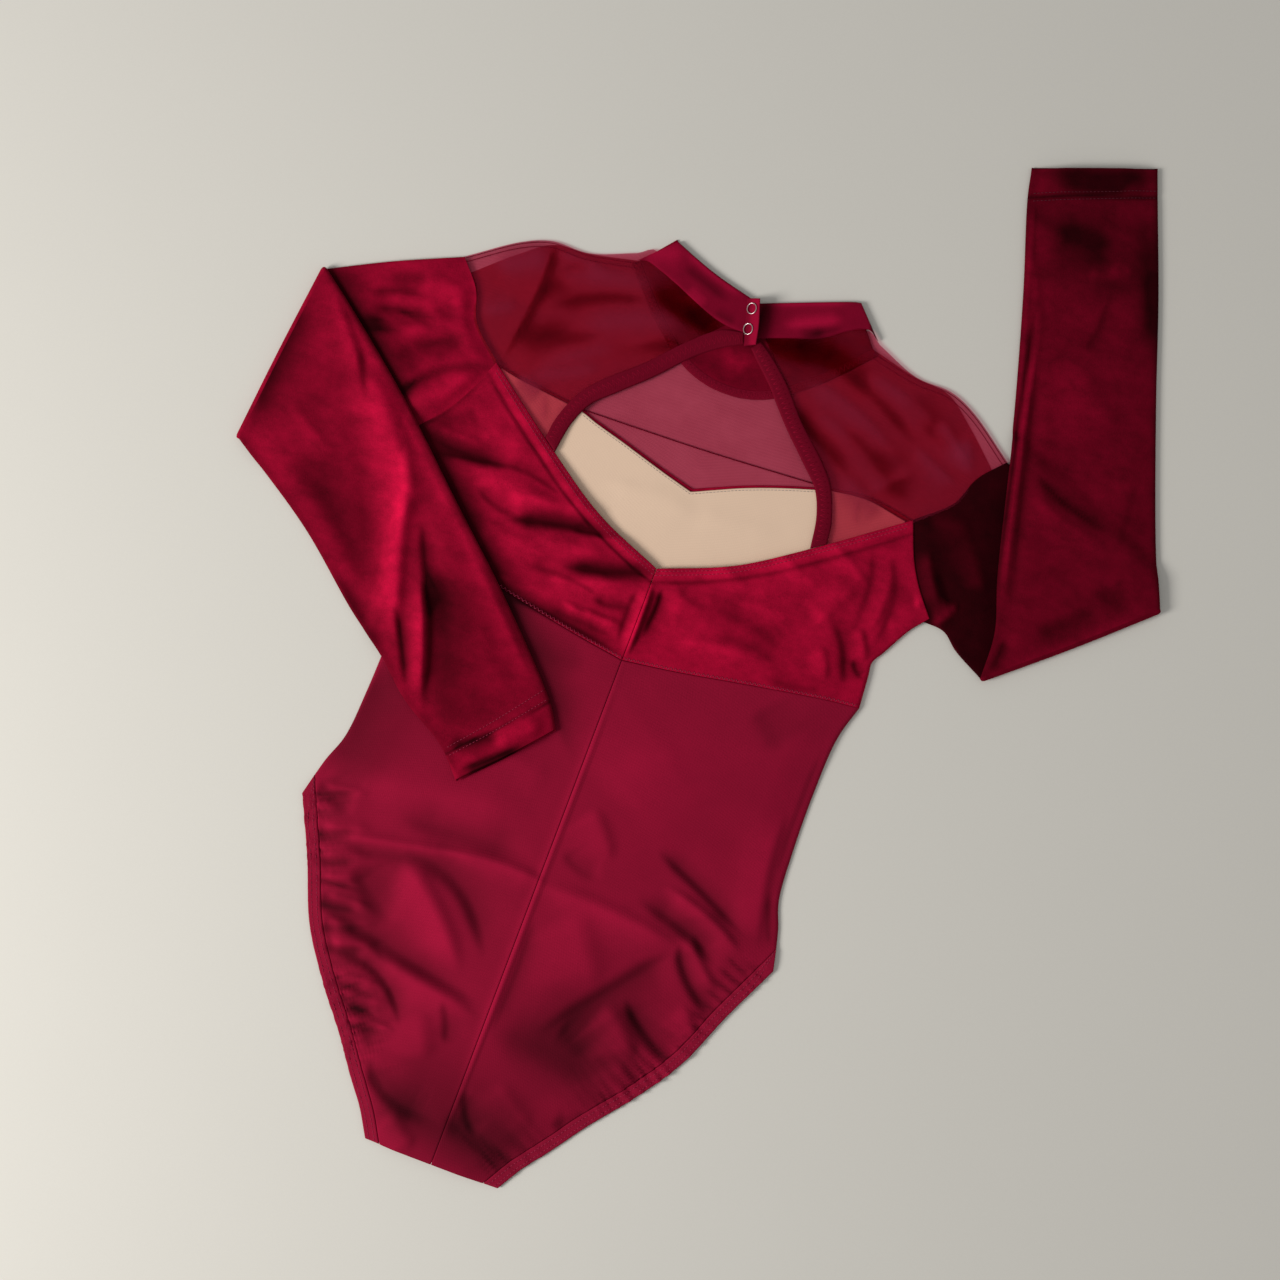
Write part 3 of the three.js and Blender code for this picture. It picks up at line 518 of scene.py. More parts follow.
# Weave: loops of a knit, or the cells of a net, on the cloth's own UV map in metres
def weaveGroup():
    inputs = [("Count", "NodeSocketFloat", 900.0), ("Stretch", "NodeSocketFloat", 0.7)]
    group, given, result = newGroup("weave", inputs, ["Height"])
    uvMap = addNode(group, "ShaderNodeUVMap", uv_map="cloth")
    split = addNode(group, "ShaderNodeSeparateXYZ")
    group.links.new(uvMap.outputs["UV"], split.inputs["Vector"])
    turn = mathNode(group, "MULTIPLY", given.outputs["Count"], 2 * math.pi)
    across = mathNode(group, "MULTIPLY", split.outputs["X"], turn)
    along = mathNode(group, "MULTIPLY", mathNode(group, "MULTIPLY", split.outputs["Y"], turn), given.outputs["Stretch"])
    wave = mathNode(group, "MULTIPLY", mathNode(group, "SINE", across),
                    mathNode(group, "SINE", mathNode(group, "ADD", along, mathNode(group, "SINE", across))))
    group.links.new(mathNode(group, "ADD", mathNode(group, "MULTIPLY", wave, 0.5), 0.5), result.inputs["Height"])
    return group


pile = pileGroup()
weave = weaveGroup()


shaderSockets = {"roughness": "Roughness", "specular": "Specular IOR Level", "sheen": "Sheen Weight",
                 "sheenRoughness": "Sheen Roughness", "metallic": "Metallic"}
pileSockets = {"grain": "Grain", "patch": "Patch", "grainAmount": "Grain Amount", "patchAmount": "Patch Amount"}


# Set the sockets that a look names
def setInputs(node, look, sockets):
    for key, socket in sockets.items():
        if key in look:
            node.inputs[socket].default_value = look[key]


# A look's material with its shader's constants set, and its pile group
def newMaterial(look):
    material = bpy.data.materials.new(look["name"])
    material.use_nodes = True
    tree = material.node_tree
    shader = tree.nodes["Principled BSDF"]
    setInputs(shader, look, shaderSockets)
    pileNode = addNode(tree, "ShaderNodeGroup", node_tree=pile)
    setInputs(pileNode, look, pileSockets)
    return material, tree, shader, pileNode


# Cloth: colour times the piece's tone attribute, which carries painted shade and highlights, and the pile's shade, with
# pile and weave as bump
def clothMaterial(look):
    material, tree, shader, pileNode = newMaterial(look)
    weaveNode = addNode(tree, "ShaderNodeGroup", node_tree=weave)
    weaveNode.inputs["Count"].default_value = look["count"]
    tone = addNode(tree, "ShaderNodeAttribute", attribute_name="tone")
    shade = mathNode(tree, "MULTIPLY", tone.outputs["Fac"], pileNode.outputs["Shade"])
    threads = mathNode(tree, "ADD", mathNode(tree, "MULTIPLY", weaveNode.outputs["Height"], look["weaveShade"]),
                       1 - look["weaveShade"] / 2)
    colour = addNode(tree, "ShaderNodeVectorMath", operation="SCALE")
    colour.inputs[0].default_value = look["colour"]
    tree.links.new(mathNode(tree, "MULTIPLY", shade, threads), colour.inputs["Scale"])
    tree.links.new(colour.outputs[0], shader.inputs["Base Color"])
    relief = mathNode(tree, "ADD", pileNode.outputs["Height"],
                      mathNode(tree, "MULTIPLY", weaveNode.outputs["Height"], look["weaveBump"]))
    bump = addNode(tree, "ShaderNodeBump", {"Strength": look["bump"], "Distance": bumpDistance})
    tree.links.new(relief, bump.inputs["Height"])
    tree.links.new(bump.outputs[0], shader.inputs["Normal"])
    shader.inputs["Sheen Tint"].default_value = (*look["sheenTint"], 1)
    return material


knitLook = {"name": "matteKnit", "colour": (0.245, 0.0035, 0.025), "roughness": 0.85, "specular": 0.07, "sheen": 0.05,
            "sheenRoughness": 0.5, "sheenTint": (1.0, 0.04, 0.14), "grain": 1300, "patch": 30, "grainAmount": 0.4,
            "patchAmount": 0.3, "count": 700, "weaveShade": 0.12, "weaveBump": 0.5, "bump": 0.35}
velvetLook = dict(knitLook, name="velvet", colour=(0.37, 0.0026, 0.028), specular=0.03, sheen=0.5, sheenRoughness=0.3,
                  sheenTint=(1.0, 0.01, 0.09), grain=1500, patch=70, grainAmount=0.8, patchAmount=1.3, weaveShade=0.0,
                  weaveBump=0.0, bump=0.45)
collarLook = dict(velvetLook, name="smoothVelvet", colour=(0.25, 0.0028, 0.024), sheen=0.22, patchAmount=0.4,
                  grainAmount=0.5)
bindingLook = dict(knitLook, name="bindingKnit", colour=(0.15, 0.0025, 0.014), sheen=0.0, specular=0.03, count=900,
                   weaveShade=0.3)
legBandLook = dict(knitLook, name="legBandKnit", colour=(0.24, 0.0045, 0.026), count=800, weaveShade=0.18)
liningLook = dict(knitLook, name="creamLining", colour=(0.78, 0.56, 0.41), roughness=0.7, specular=0.2, sheen=0.05,
                  sheenTint=(1.0, 0.9, 0.8), grainAmount=0.08, patchAmount=0.08, weaveShade=0.06, bump=0.12)
threadLook = dict(knitLook, name="thread", colour=(0.30, 0.012, 0.05), roughness=0.5, specular=0.3, grainAmount=0.2,
                  patchAmount=0.1, weaveShade=0.0, bump=0.1)
greyThreadLook = dict(threadLook, name="greyThread", colour=(0.30, 0.26, 0.24))
knitMaterial = clothMaterial(knitLook)
velvetMaterial = clothMaterial(velvetLook)
collarMaterial = clothMaterial(collarLook)
bindingMaterial = clothMaterial(bindingLook)
legBandMaterial = clothMaterial(legBandLook)
liningMaterial = clothMaterial(liningLook)
threadMaterial = clothMaterial(threadLook)
greyThreadMaterial = clothMaterial(greyThreadLook)


# Net: fine threads over tinted clearness, the same on each face of the cloth. A tone above 1 thickens the threads for
# painted fold highlights, and one below 1 darkens the clear part for painted fold shade.
netLook = {"name": "net", "tint": (0.9, 0.56, 0.65), "thread": (0.34, 0.02, 0.06), "cover": 0.06, "threadCover": 0.07,
           "count": 620, "paintedFoldCover": 0.75, "roughness": 0.8, "specular": 0.1, "patch": 26, "patchAmount": 2.2,
           "grainAmount": 0.6}


def netMaterialOf(look):
    material, tree, shader, pileNode = newMaterial(look)
    shader.inputs["Base Color"].default_value = (*look["thread"], 1)
    clear = addNode(tree, "ShaderNodeBsdfTransparent")
    weaveNode = addNode(tree, "ShaderNodeGroup", node_tree=weave)
    weaveNode.inputs["Count"].default_value = look["count"]
    cover = mathNode(tree, "MULTIPLY", weaveNode.outputs["Height"], look["threadCover"])
    cover = mathNode(tree, "MULTIPLY", mathNode(tree, "ADD", cover, look["cover"]), pileNode.outputs["Shade"])
    tone = addNode(tree, "ShaderNodeAttribute", attribute_name="tone")
    folds = mathNode(tree, "MULTIPLY", mathNode(tree, "SUBTRACT", tone.outputs["Fac"], 1.0), look["paintedFoldCover"])
    cover = mathNode(tree, "MAXIMUM", mathNode(tree, "ADD", cover, folds), 0.0)
    tint = addNode(tree, "ShaderNodeVectorMath", operation="SCALE")
    tint.inputs[0].default_value = look["tint"]
    tree.links.new(mathNode(tree, "MINIMUM", tone.outputs["Fac"], 1.0), tint.inputs["Scale"])
    tree.links.new(tint.outputs[0], clear.inputs["Color"])
    mix = addNode(tree, "ShaderNodeMixShader")
    tree.links.new(cover, mix.inputs["Fac"])
    tree.links.new(clear.outputs[0], mix.inputs[1])
    tree.links.new(shader.outputs[0], mix.inputs[2])
    tree.links.new(mix.outputs[0], tree.nodes["Material Output"].inputs["Surface"])
    return material


netMaterial = netMaterialOf(netLook)


# Bright metal with fine scratches
metalLook = {"name": "snapMetal", "colour": (0.6, 0.5, 0.49), "metallic": 1, "scratches": 0.3, "grain": 2500,
             "grainAmount": 0.5}


def metalMaterialOf(look):
    material, tree, shader, pileNode = newMaterial(look)
    shader.inputs["Base Color"].default_value = (*look["colour"], 1)
    roughness = mathNode(tree, "MULTIPLY", pileNode.outputs["Shade"], look["scratches"])
    tree.links.new(roughness, shader.inputs["Roughness"])
    return material


metalMaterial = metalMaterialOf(metalLook)
print("materials made")


# Mesh from drafting points and faces, with its tone, which carries painted shade and highlights, its cloth UV and its
# material
def makeMesh(name, points, faces, material, tone=None, uv=None):
    placed = (np.asarray(points, float).reshape(-1, 3) + (shiftX, shiftY, 0)) * millimetre
    mesh = bpy.data.meshes.new(name)
    mesh.from_pydata(placed.tolist(), [], faces.tolist() if isinstance(faces, np.ndarray) else faces)
    mesh.polygons.foreach_set("use_smooth", np.ones(len(mesh.polygons), bool))
    toneValues = np.ones(len(placed)) if tone is None else np.broadcast_to(tone, placed.shape[:1])
    mesh.attributes.new("tone", "FLOAT", "POINT").data.foreach_set("value", toneValues.astype(np.float32))
    corners = np.zeros(len(mesh.loops), np.int32)
    mesh.loops.foreach_get("vertex_index", corners)
    flatUv = placed[:, :2] if uv is None else np.asarray(uv).reshape(-1, 2)
    mesh.uv_layers.new(name="cloth").data.foreach_set("uv", flatUv[corners].astype(np.float32).ravel())
    mesh.materials.append(material)
    mesh.update()
    piece = bpy.data.objects.new(name, mesh)
    bpy.context.scene.collection.objects.link(piece)
    return piece


# Faces of a closed wall over a grid: top, underside, and the rim between them
def wallFaces(rows, columns):
    at = np.arange(rows * columns).reshape(rows, columns)
    top = np.stack([at[:-1, :-1], at[:-1, 1:], at[1:, 1:], at[1:, :-1]], axis=-1).reshape(-1, 4)
    loop = np.concatenate([at[0, :-1], at[:-1, -1], at[-1, :0:-1], at[:0:-1, 0]])
    after = np.roll(loop, -1)
    under = rows * columns
    rim = np.stack([loop + under, after + under, after, loop], axis=1)
    return np.vstack([top, top[:, ::-1] + under, rim])


def signedArea(grid):
    loop = np.concatenate([grid[0, :-1], grid[:-1, -1], grid[-1, :0:-1], grid[:0:-1, 0]])
    after = np.roll(loop, -1, axis=0)
    return (loop[:, 0] * after[:, 1] - after[:, 0] * loop[:, 1]).sum() / 2


# How edges turn. A fold comes down to the floor, a seam dips a little, a hem is a round cut edge.
edgeShapes = {"foldRadius": 3.4, "foldFloor": 0.25, "seamRadius": 1.3, "seamDip": 0.55, "hemRadius": 0.7}
allHems = [(side, "hem", None) for side in ("left", "right", "bottom", "top")]
allSeams = [(side, "seam", None) for side in ("left", "right", "bottom", "top")]
sideHems = [("left", "hem", None), ("right", "hem", None), ("top", "seam", None)]


def turnEdges(grid, base, thickness, edges):
    away = sideDistances(grid)
    topDrop = np.zeros(base.shape)
    baseDrop = np.zeros(base.shape)
    low = edgeShapes["foldFloor"]
    for side, kind, weight in edges:
        share = 1.0 if weight is None else weight(grid[..., 1])
        if kind == "fold":
            outer = 1 - rounded(away[side], edgeShapes["foldRadius"])
            inner = 1 - rounded(away[side] - thickness * 0.8, edgeShapes["foldRadius"])
            topDrop = np.maximum(topDrop, share * (base + thickness - low - 0.2) * outer)
            baseDrop = np.maximum(baseDrop, share * (base - low) * inner)
        elif kind == "seam":
            dip = edgeShapes["seamDip"] * (1 - rounded(away[side], edgeShapes["seamRadius"]))
            topDrop = np.maximum(topDrop, share * dip)
        else:
            topDrop = np.maximum(topDrop, share * thickness * 0.8 * (1 - rounded(away[side], edgeShapes["hemRadius"])))
    bottom = base - baseDrop
    return np.maximum(base + thickness - topDrop, bottom + 0.12), bottom


# Cloth wall over a grid, with a UV map of distances along the grid's lines.
def clothPanel(name, node, grid, base, cut):
    thickness = cut.get("thickness", heights["clothThickness"])
    top, bottom = turnEdges(grid, base, thickness, cut["edges"])
    if "crown" in cut:
        away = sideDistances(grid)
        nearest = np.minimum(np.minimum(away["left"], away["right"]), np.minimum(away["bottom"], away["top"]))
        top = top + cut["crown"] * (rounded(nearest, cut["crownRadius"]) - 1)
    rows, columns = base.shape
    faces = wallFaces(rows, columns)
    if signedArea(grid) < 0:
        faces = faces[:, ::-1]
    points = np.concatenate([np.dstack([grid, top]).reshape(-1, 3), np.dstack([grid, bottom]).reshape(-1, 3)])
    away = sideDistances(grid)
    uv = np.dstack([away["left"] - away["left"][:, -1:] / 2, away["bottom"]]).reshape(-1, 2) * millimetre
    tone = cut.get("tone", 1.0)
    tone = tone(grid[..., 0], grid[..., 1], top) if callable(tone) else np.full(base.shape, float(tone))
    piece = makeMesh(name, points, faces, cut["material"], np.tile(tone.ravel(), 2), np.tile(uv, (2, 1)))
    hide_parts(node)
    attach(piece, "root")
    return piece


def mirrorGrid(grid):
    return grid * (-1, 1)


def panelPair(name, node, grid, baseAt, cut):
    for side, shape in (("Right", grid), ("Left", mirrorGrid(grid))):
        clothPanel(name + side, f"{node}_{side.lower()}", shape, baseAt(shape[..., 0], shape[..., 1]), cut)


def onFloor(x, y):
    return np.zeros(x.shape)


shading = {"stepX": 1.5, "stepY": 0.6, "crest": 0.8, "gatherCrest": 0.4, "limits": (0.12, 1.8),
           "pileLimits": (0.06, 1.8)}


# Rise of the folds across a short step up right, so that it is positive where they face down left, towards the light:
# it scales painted light on those slopes
def slopeFacingLight(rows, x, y):
    dx, dy = shading["stepX"], shading["stepY"]
    return strokes(rows, x + dx, y + dy) - strokes(rows, x - dx, y - dy)


# Tone of the back layer, with painted light and shade: painted shade and highlights of its folds, painted light on
# slopes that face down left towards the light, painted shade in the troughs of gathers and painted highlights on their
# crests
def backToneAndShade(level, paintedSlopeLight, gain, gatherPaintedShade=0.0):
    def tone(x, y, z):
        marks = gain * strokes(backFolds, x, y, "tone")
        value = level * np.where(marks < 0, np.exp(marks), 1 + shading["crest"] * marks)
        value = value + paintedSlopeLight * slopeFacingLight(backFolds, x, y)
        if gatherPaintedShade:
            wave = legGathers(x, y)
            value = value + gatherPaintedShade * np.minimum(wave, shading["gatherCrest"] * wave)
        return np.clip(value, *shading["limits"])
    return tone


# Leg bands: folded elastic casing, one on each layer
legBandCut = {"step": 2.0, "edges": [("left", "hem", None), ("right", "seam", None)], "material": legBandMaterial,
              "slot": "knit", "held": "laid", "restsOn": ["floor"], "strip": True, "crown": 0.4, "crownRadius": 3.5,
              "tone": backToneAndShade(1.08, 0.0, 0.5)}


def legBandGrid(cut):
    across = spread(legBandWidth, 1.6)
    up = spread(legEdge.length, cut["step"])
    u = across[None, :, None]
    return (1 - u) * legEdge.at(up)[:, None] + u * legBandInner.at(up)[:, None]


panelPair("legBandBack", "leg_band_back", legBandGrid(legBandCut), backBase, legBandCut)
panelPair("legBandFront", "leg_band_front", legBandGrid(legBandCut), onFloor, dict(legBandCut, tone=0.85))

# Body: the back in two halves, the front in one
backBodyCut = {"step": 1.7, "material": knitMaterial, "slot": "knit", "held": "laid", "restsOn": ["frontBody"],
               "edges": [("right", "fold", lambda y: ramp(224, 240, y)), ("right", "seam", lambda y: ramp(240, 224, y)),
                         ("left", "seam", None), ("top", "seam", None)],
               "tone": backToneAndShade(1.0, 0.2, 1.6, gathers["tone"])}
bodyTop = smooth(moved(bandBottomRows, 0, -0.3))


def backBodyGrid(cut):
    across, up = spread(165, cut["step"]), spread(400, cut["step"])
    gap = 0.15
    bottom = straight((gap, 0), (legSeam.points[0, 0], 0))
    top = Line(np.vstack([(gap, bodyTop.points[0, 1]), bodyTop.points[1:]]))
    return patch(bottom, top, straight((gap, 0), (gap, top.points[0, 1])), bodyEdge, across, up)


panelPair("backBody", "back_body", backBodyGrid(backBodyCut), backBase, backBodyCut)

frontBodyCut = {"step": 5.0, "material": knitMaterial, "slot": "knit", "held": "laid", "restsOn": ["floor"],
                "edges": sideHems + [("bottom", "hem", None)], "tone": 0.95}
frontInset = 3.6  # how far the front's side edge lies inside the fold of the back


def frontBodyGrid(cut):
    across, up = spread(330, cut["step"]), spread(400, cut["step"])
    half = straight((0, 0), (legSeam.points[0, 0], 0))
    side = bodyEdge.points.copy()
    side[:, 0] -= frontInset * ramp(222, 245, side[:, 1])
    side = Line(side)
    top = bodyTop.points.copy()
    top[:, 0] *= side.points[-1, 0] / top[-1, 0]
    return patch(acrossMiddle(half), acrossMiddle(Line(top)), side.mirrored(), side, across, up)


frontBodyShape = frontBodyGrid(frontBodyCut)
clothPanel("frontBody", "front_body", frontBodyShape, np.zeros(frontBodyShape.shape[:2]), frontBodyCut)
print("body made")

# Velvet band: the back in two halves with a V top edge, the front bodice in one
backBandCut = {"step": 1.2, "material": velvetMaterial, "slot": "velvet", "held": "laid", "restsOn": ["frontBodice"],
               "edges": [("right", "fold", lambda y: ramp(490, 478, y)), ("right", "seam", lambda y: ramp(478, 490, y)),
                         ("left", "seam", None), ("bottom", "seam", None), ("top", "hem", None)],
               "tone": backToneAndShade(0.88, 0.22, 1.5)}
bandSideUp = chain(bandSide, armholeLow)


def backBandGrid(cut):
    across, up = spread(172, cut["step"]), spread(110, cut["step"])
    gap = 0.15
    bottom = Line(np.vstack([(gap, 387), bandBottom.points[1:]]))
    top = Line(np.vstack([(gap, 457), vEdge.points[1:]]))
    return patch(bottom, top, straight(bottom.points[0], top.points[0]), bandSideUp, across, up)


panelPair("backBand", "back_band", backBandGrid(backBandCut), backBase, backBandCut)

sweetheartRim = 2.6
sweetheartTop = sweetheart(sweetheartRim)
frontBodiceCut = {"step": 5.0, "material": velvetMaterial, "slot": "velvet", "held": "laid", "restsOn": ["floor"],
                  "edges": sideHems + [("bottom", "seam", None)], "tone": 0.8}


def frontBodiceGrid(cut):
    across, up = spread(330, cut["step"]), spread(140, cut["step"])
    side = bandSideUp.points.copy()
    side[:, 0] -= frontInset * ramp(500, 480, side[:, 1])
    side = Line(side)
    bottom = bandBottom.points.copy()
    bottom[:, 0] *= side.points[0, 0] / bottom[-1, 0]
    return patch(acrossMiddle(Line(bottom)), sweetheartTop, side.mirrored(), side, across, up)


frontBodiceShape = frontBodiceGrid(frontBodiceCut)
clothPanel("frontBodice", "front_bodice", frontBodiceShape, np.zeros(frontBodiceShape.shape[:2]), frontBodiceCut)

liningCut = {"step": 3.0, "material": liningMaterial, "slot": "lining", "held": "laid", "restsOn": ["frontBodice"],
             "edges": allHems, "thickness": 0.8, "share": 0.97, "tuck": 17, "base": 1.5}
liningFolds = [
    (-60, 500, -20, 506, 20, 498, 9, 0.7, 0),
    (10, 512, 40, 505, 80, 520, 8, 0.6, 0),
    (-80, 520, -50, 512, -20, 516, 6, -0.4, 0),
]


def liningGrid(cut):
    across, up = spread(310, cut["step"]), spread(60, cut["step"])
    scale = (cut["share"], 1)
    top = Line(sweetheart(0).points * scale)
    bottom = Line(acrossMiddle(smooth(moved(vEdgeRows, 0, -cut["tuck"]))).points * scale)
    return ruledPatch(bottom, top, across, up)


liningShape = liningGrid(liningCut)
liningBase = liningCut["base"] + np.maximum(0, strokes(liningFolds, liningShape[..., 0], liningShape[..., 1]))
clothPanel("frontLining", "front_lining", liningShape, liningBase, liningCut)
print("bust band made")

# Net: insert and yoke of the front, yokes of the back
netCut = {"step": 3.0, "material": netMaterial, "slot": "mesh", "held": "laid", "restsOn": ["floor"], "thickness": 0.5,
          "edges": allSeams}
netTuck = 1.4  # how far a net's edge runs into the cloth that it is sewn to
netSeamRows = moved(insertSeamRows, 0, 0.1)


def insertGrid(cut):
    across, up = spread(156, cut["step"]), spread(20, cut["step"])
    bottom = sweetheart(sweetheartRim - netTuck, -93, 89)
    top = smooth(insertSeamRows)
    return ruledPatch(bottom, top, across, up)


insertShape = insertGrid(netCut)
clothPanel("frontInsert", "front_insert", insertShape, np.zeros(insertShape.shape[:2]), netCut)


def frontYokeGrid(cut):
    across, up = spread(430, cut["step"]), spread(100, cut["step"])
    rise = sweetheartRim - netTuck
    leftRows = moved([row for row in sweetheartLeft if -160 < row[0] < -93], 0, rise)
    rightRows = moved([row for row in sweetheartRight if 89 < row[0] < 160], 0, rise)
    corner = (159.6, 554.4)
    bottom = chain(smooth([(-corner[0], corner[1]), *leftRows, netSeamRows[0]]), smooth(netSeamRows),
                   smooth([netSeamRows[-1], *rightRows, corner]))
    top = acrossMiddle(chain(neckFront, smooth([(90, 660), (126, 652), (152, 649), (173, 634), (203, 607)])))
    right = smooth([corner, (185.4, 577), (194.4, 597), (203, 607)])
    return patch(bottom, top, right.mirrored(), right, across, up)


frontYokeShape = frontYokeGrid(netCut)
clothPanel("frontYoke", "front_yoke", frontYokeShape, np.zeros(frontYokeShape.shape[:2]), netCut)


def backYokeGrid(cut):
    across, up = spread(110, 2.0), spread(110, 2.0)
    top = chain(neckSeam, smooth([neckSeam.points[-1], *shoulder.points[24::24]]))
    bottom = smooth([(106.6, 515.4), (134, 533.8), (161.4, 553.6)])
    left = smooth([bottom.points[0], *moved(bindingOuterRows[4::-1], -netTuck, 0), neckSeam.points[0]])
    right = smooth([(161.4, 553.6), (185.4, 577), (194.4, 599), (209, 618)])
    return patch(bottom, top, left, right, across, up)


# Folds of the back yokes, columns as for the body: the tone column is painted highlights along fold crests and painted
# shade in troughs and along a seam
yokeFolds = [
    (-40, 628, -84, 616, -134, 584, 7, 0.8, 0.24),
    (-52, 612, -92, 592, -136, 560, 5, 0.6, 0.18),
    (-66, 646, -110, 640, -150, 622, 6, 0.6, 0.22),
    (-86, 580, -110, 566, -140, 552, 5, 0.6, 0.2),
    (-150, 640, -168, 630, -190, 618, 8, 0.8, 0.3),
    (-160, 600, -172, 592, -186, 584, 5, 0.5, 0.2),
    (-104, 640, -128, 646, -150, 642, 3, 0.4, 0.2),
    (-120, 545, -132, 548, -144, 552, 5, 0.4, 0.3),
    (48, 622, 92, 612, 136, 590, 6, 0.8, 0.26),
    (60, 604, 100, 590, 140, 566, 5, 0.6, 0.2),
    (86, 640, 120, 634, 156, 618, 7, 0.7, 0.3),
    (96, 570, 120, 556, 140, 550, 6, 0.6, 0.25),
    (150, 630, 166, 618, 184, 604, 5, 0.6, 0.35),
    (140, 606, 160, 596, 182, 588, 4, 0.6, 0.25),
    (174, 626, 180, 612, 186, 598, 5, 0.4, 0.3),
    (122, 560, 134, 576, 150, 592, 4, 0.5, 0.18),
    (-30, 616, -66, 604, -100, 590, 5, -0.4, -0.2),
    (-70, 634, -104, 626, -140, 604, 5, -0.4, -0.2),
    (40, 600, 76, 586, 110, 566, 5, -0.4, -0.2),
    (62, 640, 104, 628, 146, 604, 6, -0.4, -0.25),
    (4, 640, 40, 640, 84, 652, 9, 0, -0.2),
    (-8, 634, -44, 636, -84, 650, 9, 0, -0.2),
    (-90, 604, -124, 590, -160, 572, 9, 0, -0.22),
    (84, 606, 120, 582, 158, 566, 9, 0, -0.22),
    (-120, 646, -136, 632, -150, 600, 7, 0, -0.16),
    (120, 640, 146, 622, 178, 612, 7, 0, -0.2),
    (-152, 652, -149, 616, -158, 549, 2.2, 0.6, -0.3),
    (-104, 548, -101, 532, -96, 516, 2, 0.4, 0.16),
    (-120, 548, -116, 538, -112, 526, 2, 0.4, 0.14),
    (98, 552, 104, 538, 106, 524, 2, 0.4, 0.16),
    (118, 556, 120, 546, 124, 536, 2, 0.4, 0.14),
]


def yokeBase(x, y):
    return backBase(x, y) + strokes(yokeFolds, x, y)


# Painted highlights and shade of the yoke's folds
def yokePaintedFolds(x, y, z):
    return 1 + strokes(yokeFolds, x, y, "tone")


panelPair("backYoke", "back_yoke", backYokeGrid(netCut), yokeBase, dict(netCut, restsOn=["frontYoke"], tone=yokePaintedFolds))
print("net made")

# Bound keyhole edge, its stand collar, and the tape along the front neckline
bindingCut = {"material": bindingMaterial, "slot": "binding", "held": "folded", "restsOn": ["frontYoke"],
              "thickness": 1.7, "strip": True, "crown": 0.9, "crownRadius": 5.0, "edges": allHems}


# Ends of a binding at the closure: inner and outer rows, in the half's own mirrored frame
bindingEnds = {"Left": ([(-1.7, 630.5), (12, 622.5)], [(1.2, 638.5), (18, 634.0)]),
               "Right": ([(7.5, 629.3), (16, 621)], [(11.8, 636.5), (22, 630)])}


def bindingGrid(ends):
    across = spread(12, 1.5)
    inner, outer = smooth([*ends[0], *bindingInnerRows]), smooth([*ends[1], *bindingOuterRows])
    up = spread(outer.length, 1.6)
    u = across[None, :, None]
    return (1 - u) * inner.at(up)[:, None] + u * outer.at(up)[:, None]


for side, ends in bindingEnds.items():
    shape = bindingGrid(ends) if side == "Right" else mirrorGrid(bindingGrid(ends))
    clothPanel("keyholeBinding" + side, "keyhole_binding_" + side.lower(), shape,
               backBase(shape[..., 0], shape[..., 1]), bindingCut)

# Collar folds, columns as for the body: the tone column is painted highlights along edges and ridges and painted shade
# in hollows
collarFolds = [
    (-90, 664, -76, 671, -58, 676, 7, 0.3, 0.5),
    (-50, 656, -41, 651, -32, 647, 4, 0.3, 0.4),
    (-60, 668, -42, 662, -16, 654, 4, -0.4, -0.35),
    (-28, 645, -18, 643, -8, 642, 2.5, -0.2, -0.3),
    (20, 652, 44, 663, 64, 674, 4, 0.5, 0.7),
    (30, 652, 48, 658, 66, 668, 2.5, -0.3, -0.35),
    (82, 676, 86, 672, 91, 666, 4, -0.5, -0.7),
    (-8, 661.5, -38, 669, -67, 680.5, 1.6, 0, 0.6),
    (6, 662, 36, 674, 67, 686, 1.6, 0, 0.6),
    (-14, 614, 0, 618, 12, 615, 5, 0, 0.7),
    (0, 624, 6, 648, 4, 672, 5, 0, -0.6),
    (-50, 644, -36, 634, -24, 630, 5, 0, -0.4),
    (34, 640, 44, 650, 54, 662, 5, 0, -0.4),
]


# Base tone of the collar with its painted highlights and shade
def collarToneAndShade(x, y, z):
    return np.clip(0.78 + strokes(collarFolds, x, y, "tone"), 0.15, 2)


collarCut = {"material": collarMaterial, "slot": "collar_velvet", "held": "folded", "restsOn": ["collarFront"],
             "thickness": 1.9, "strip": True, "crown": 0.7, "crownRadius": 4.0, "tone": collarToneAndShade, "edges": allHems,
             "seat": 1.5}
collarHalves = {
    "Left": ([(1.5, 637.8), (-15, 638.4), (-25.9, 640.6), (-41.8, 646.4), (-60.4, 654), (-74, 658.8), (-84.9, 661.6),
              (-91, 660)],
             [(-5.0, 663.0), (-31.4, 669.3), (-49, 675), (-68.6, 682.5)]),
    "Right": ([(7.6, 636.6), (23, 643), (35.3, 647.5), (46.9, 651.4), (57.5, 657.5), (67.6, 665), (76.3, 670.4),
               (83, 671.8), (90.9, 666.4)],
              [(1.6, 661.8), (28.8, 672.7), (48.9, 680.7), (65.6, 687), (70, 688)]),
}
for side, (lowerRows, upperRows) in collarHalves.items():
    lower, upper = smooth(lowerRows), smooth(upperRows)
    across, v = spread(90, 2.0), spread(22, 2.0)[:, None, None]
    shape = (1 - v) * lower.at(across)[None] + v * upper.at(across)[None]
    seat = collarCut["seat"] + np.maximum(0, strokes(collarFolds, shape[..., 0], shape[..., 1]))
    clothPanel("collarBack" + side, "collar_back_" + side.lower(), shape, seat, collarCut)


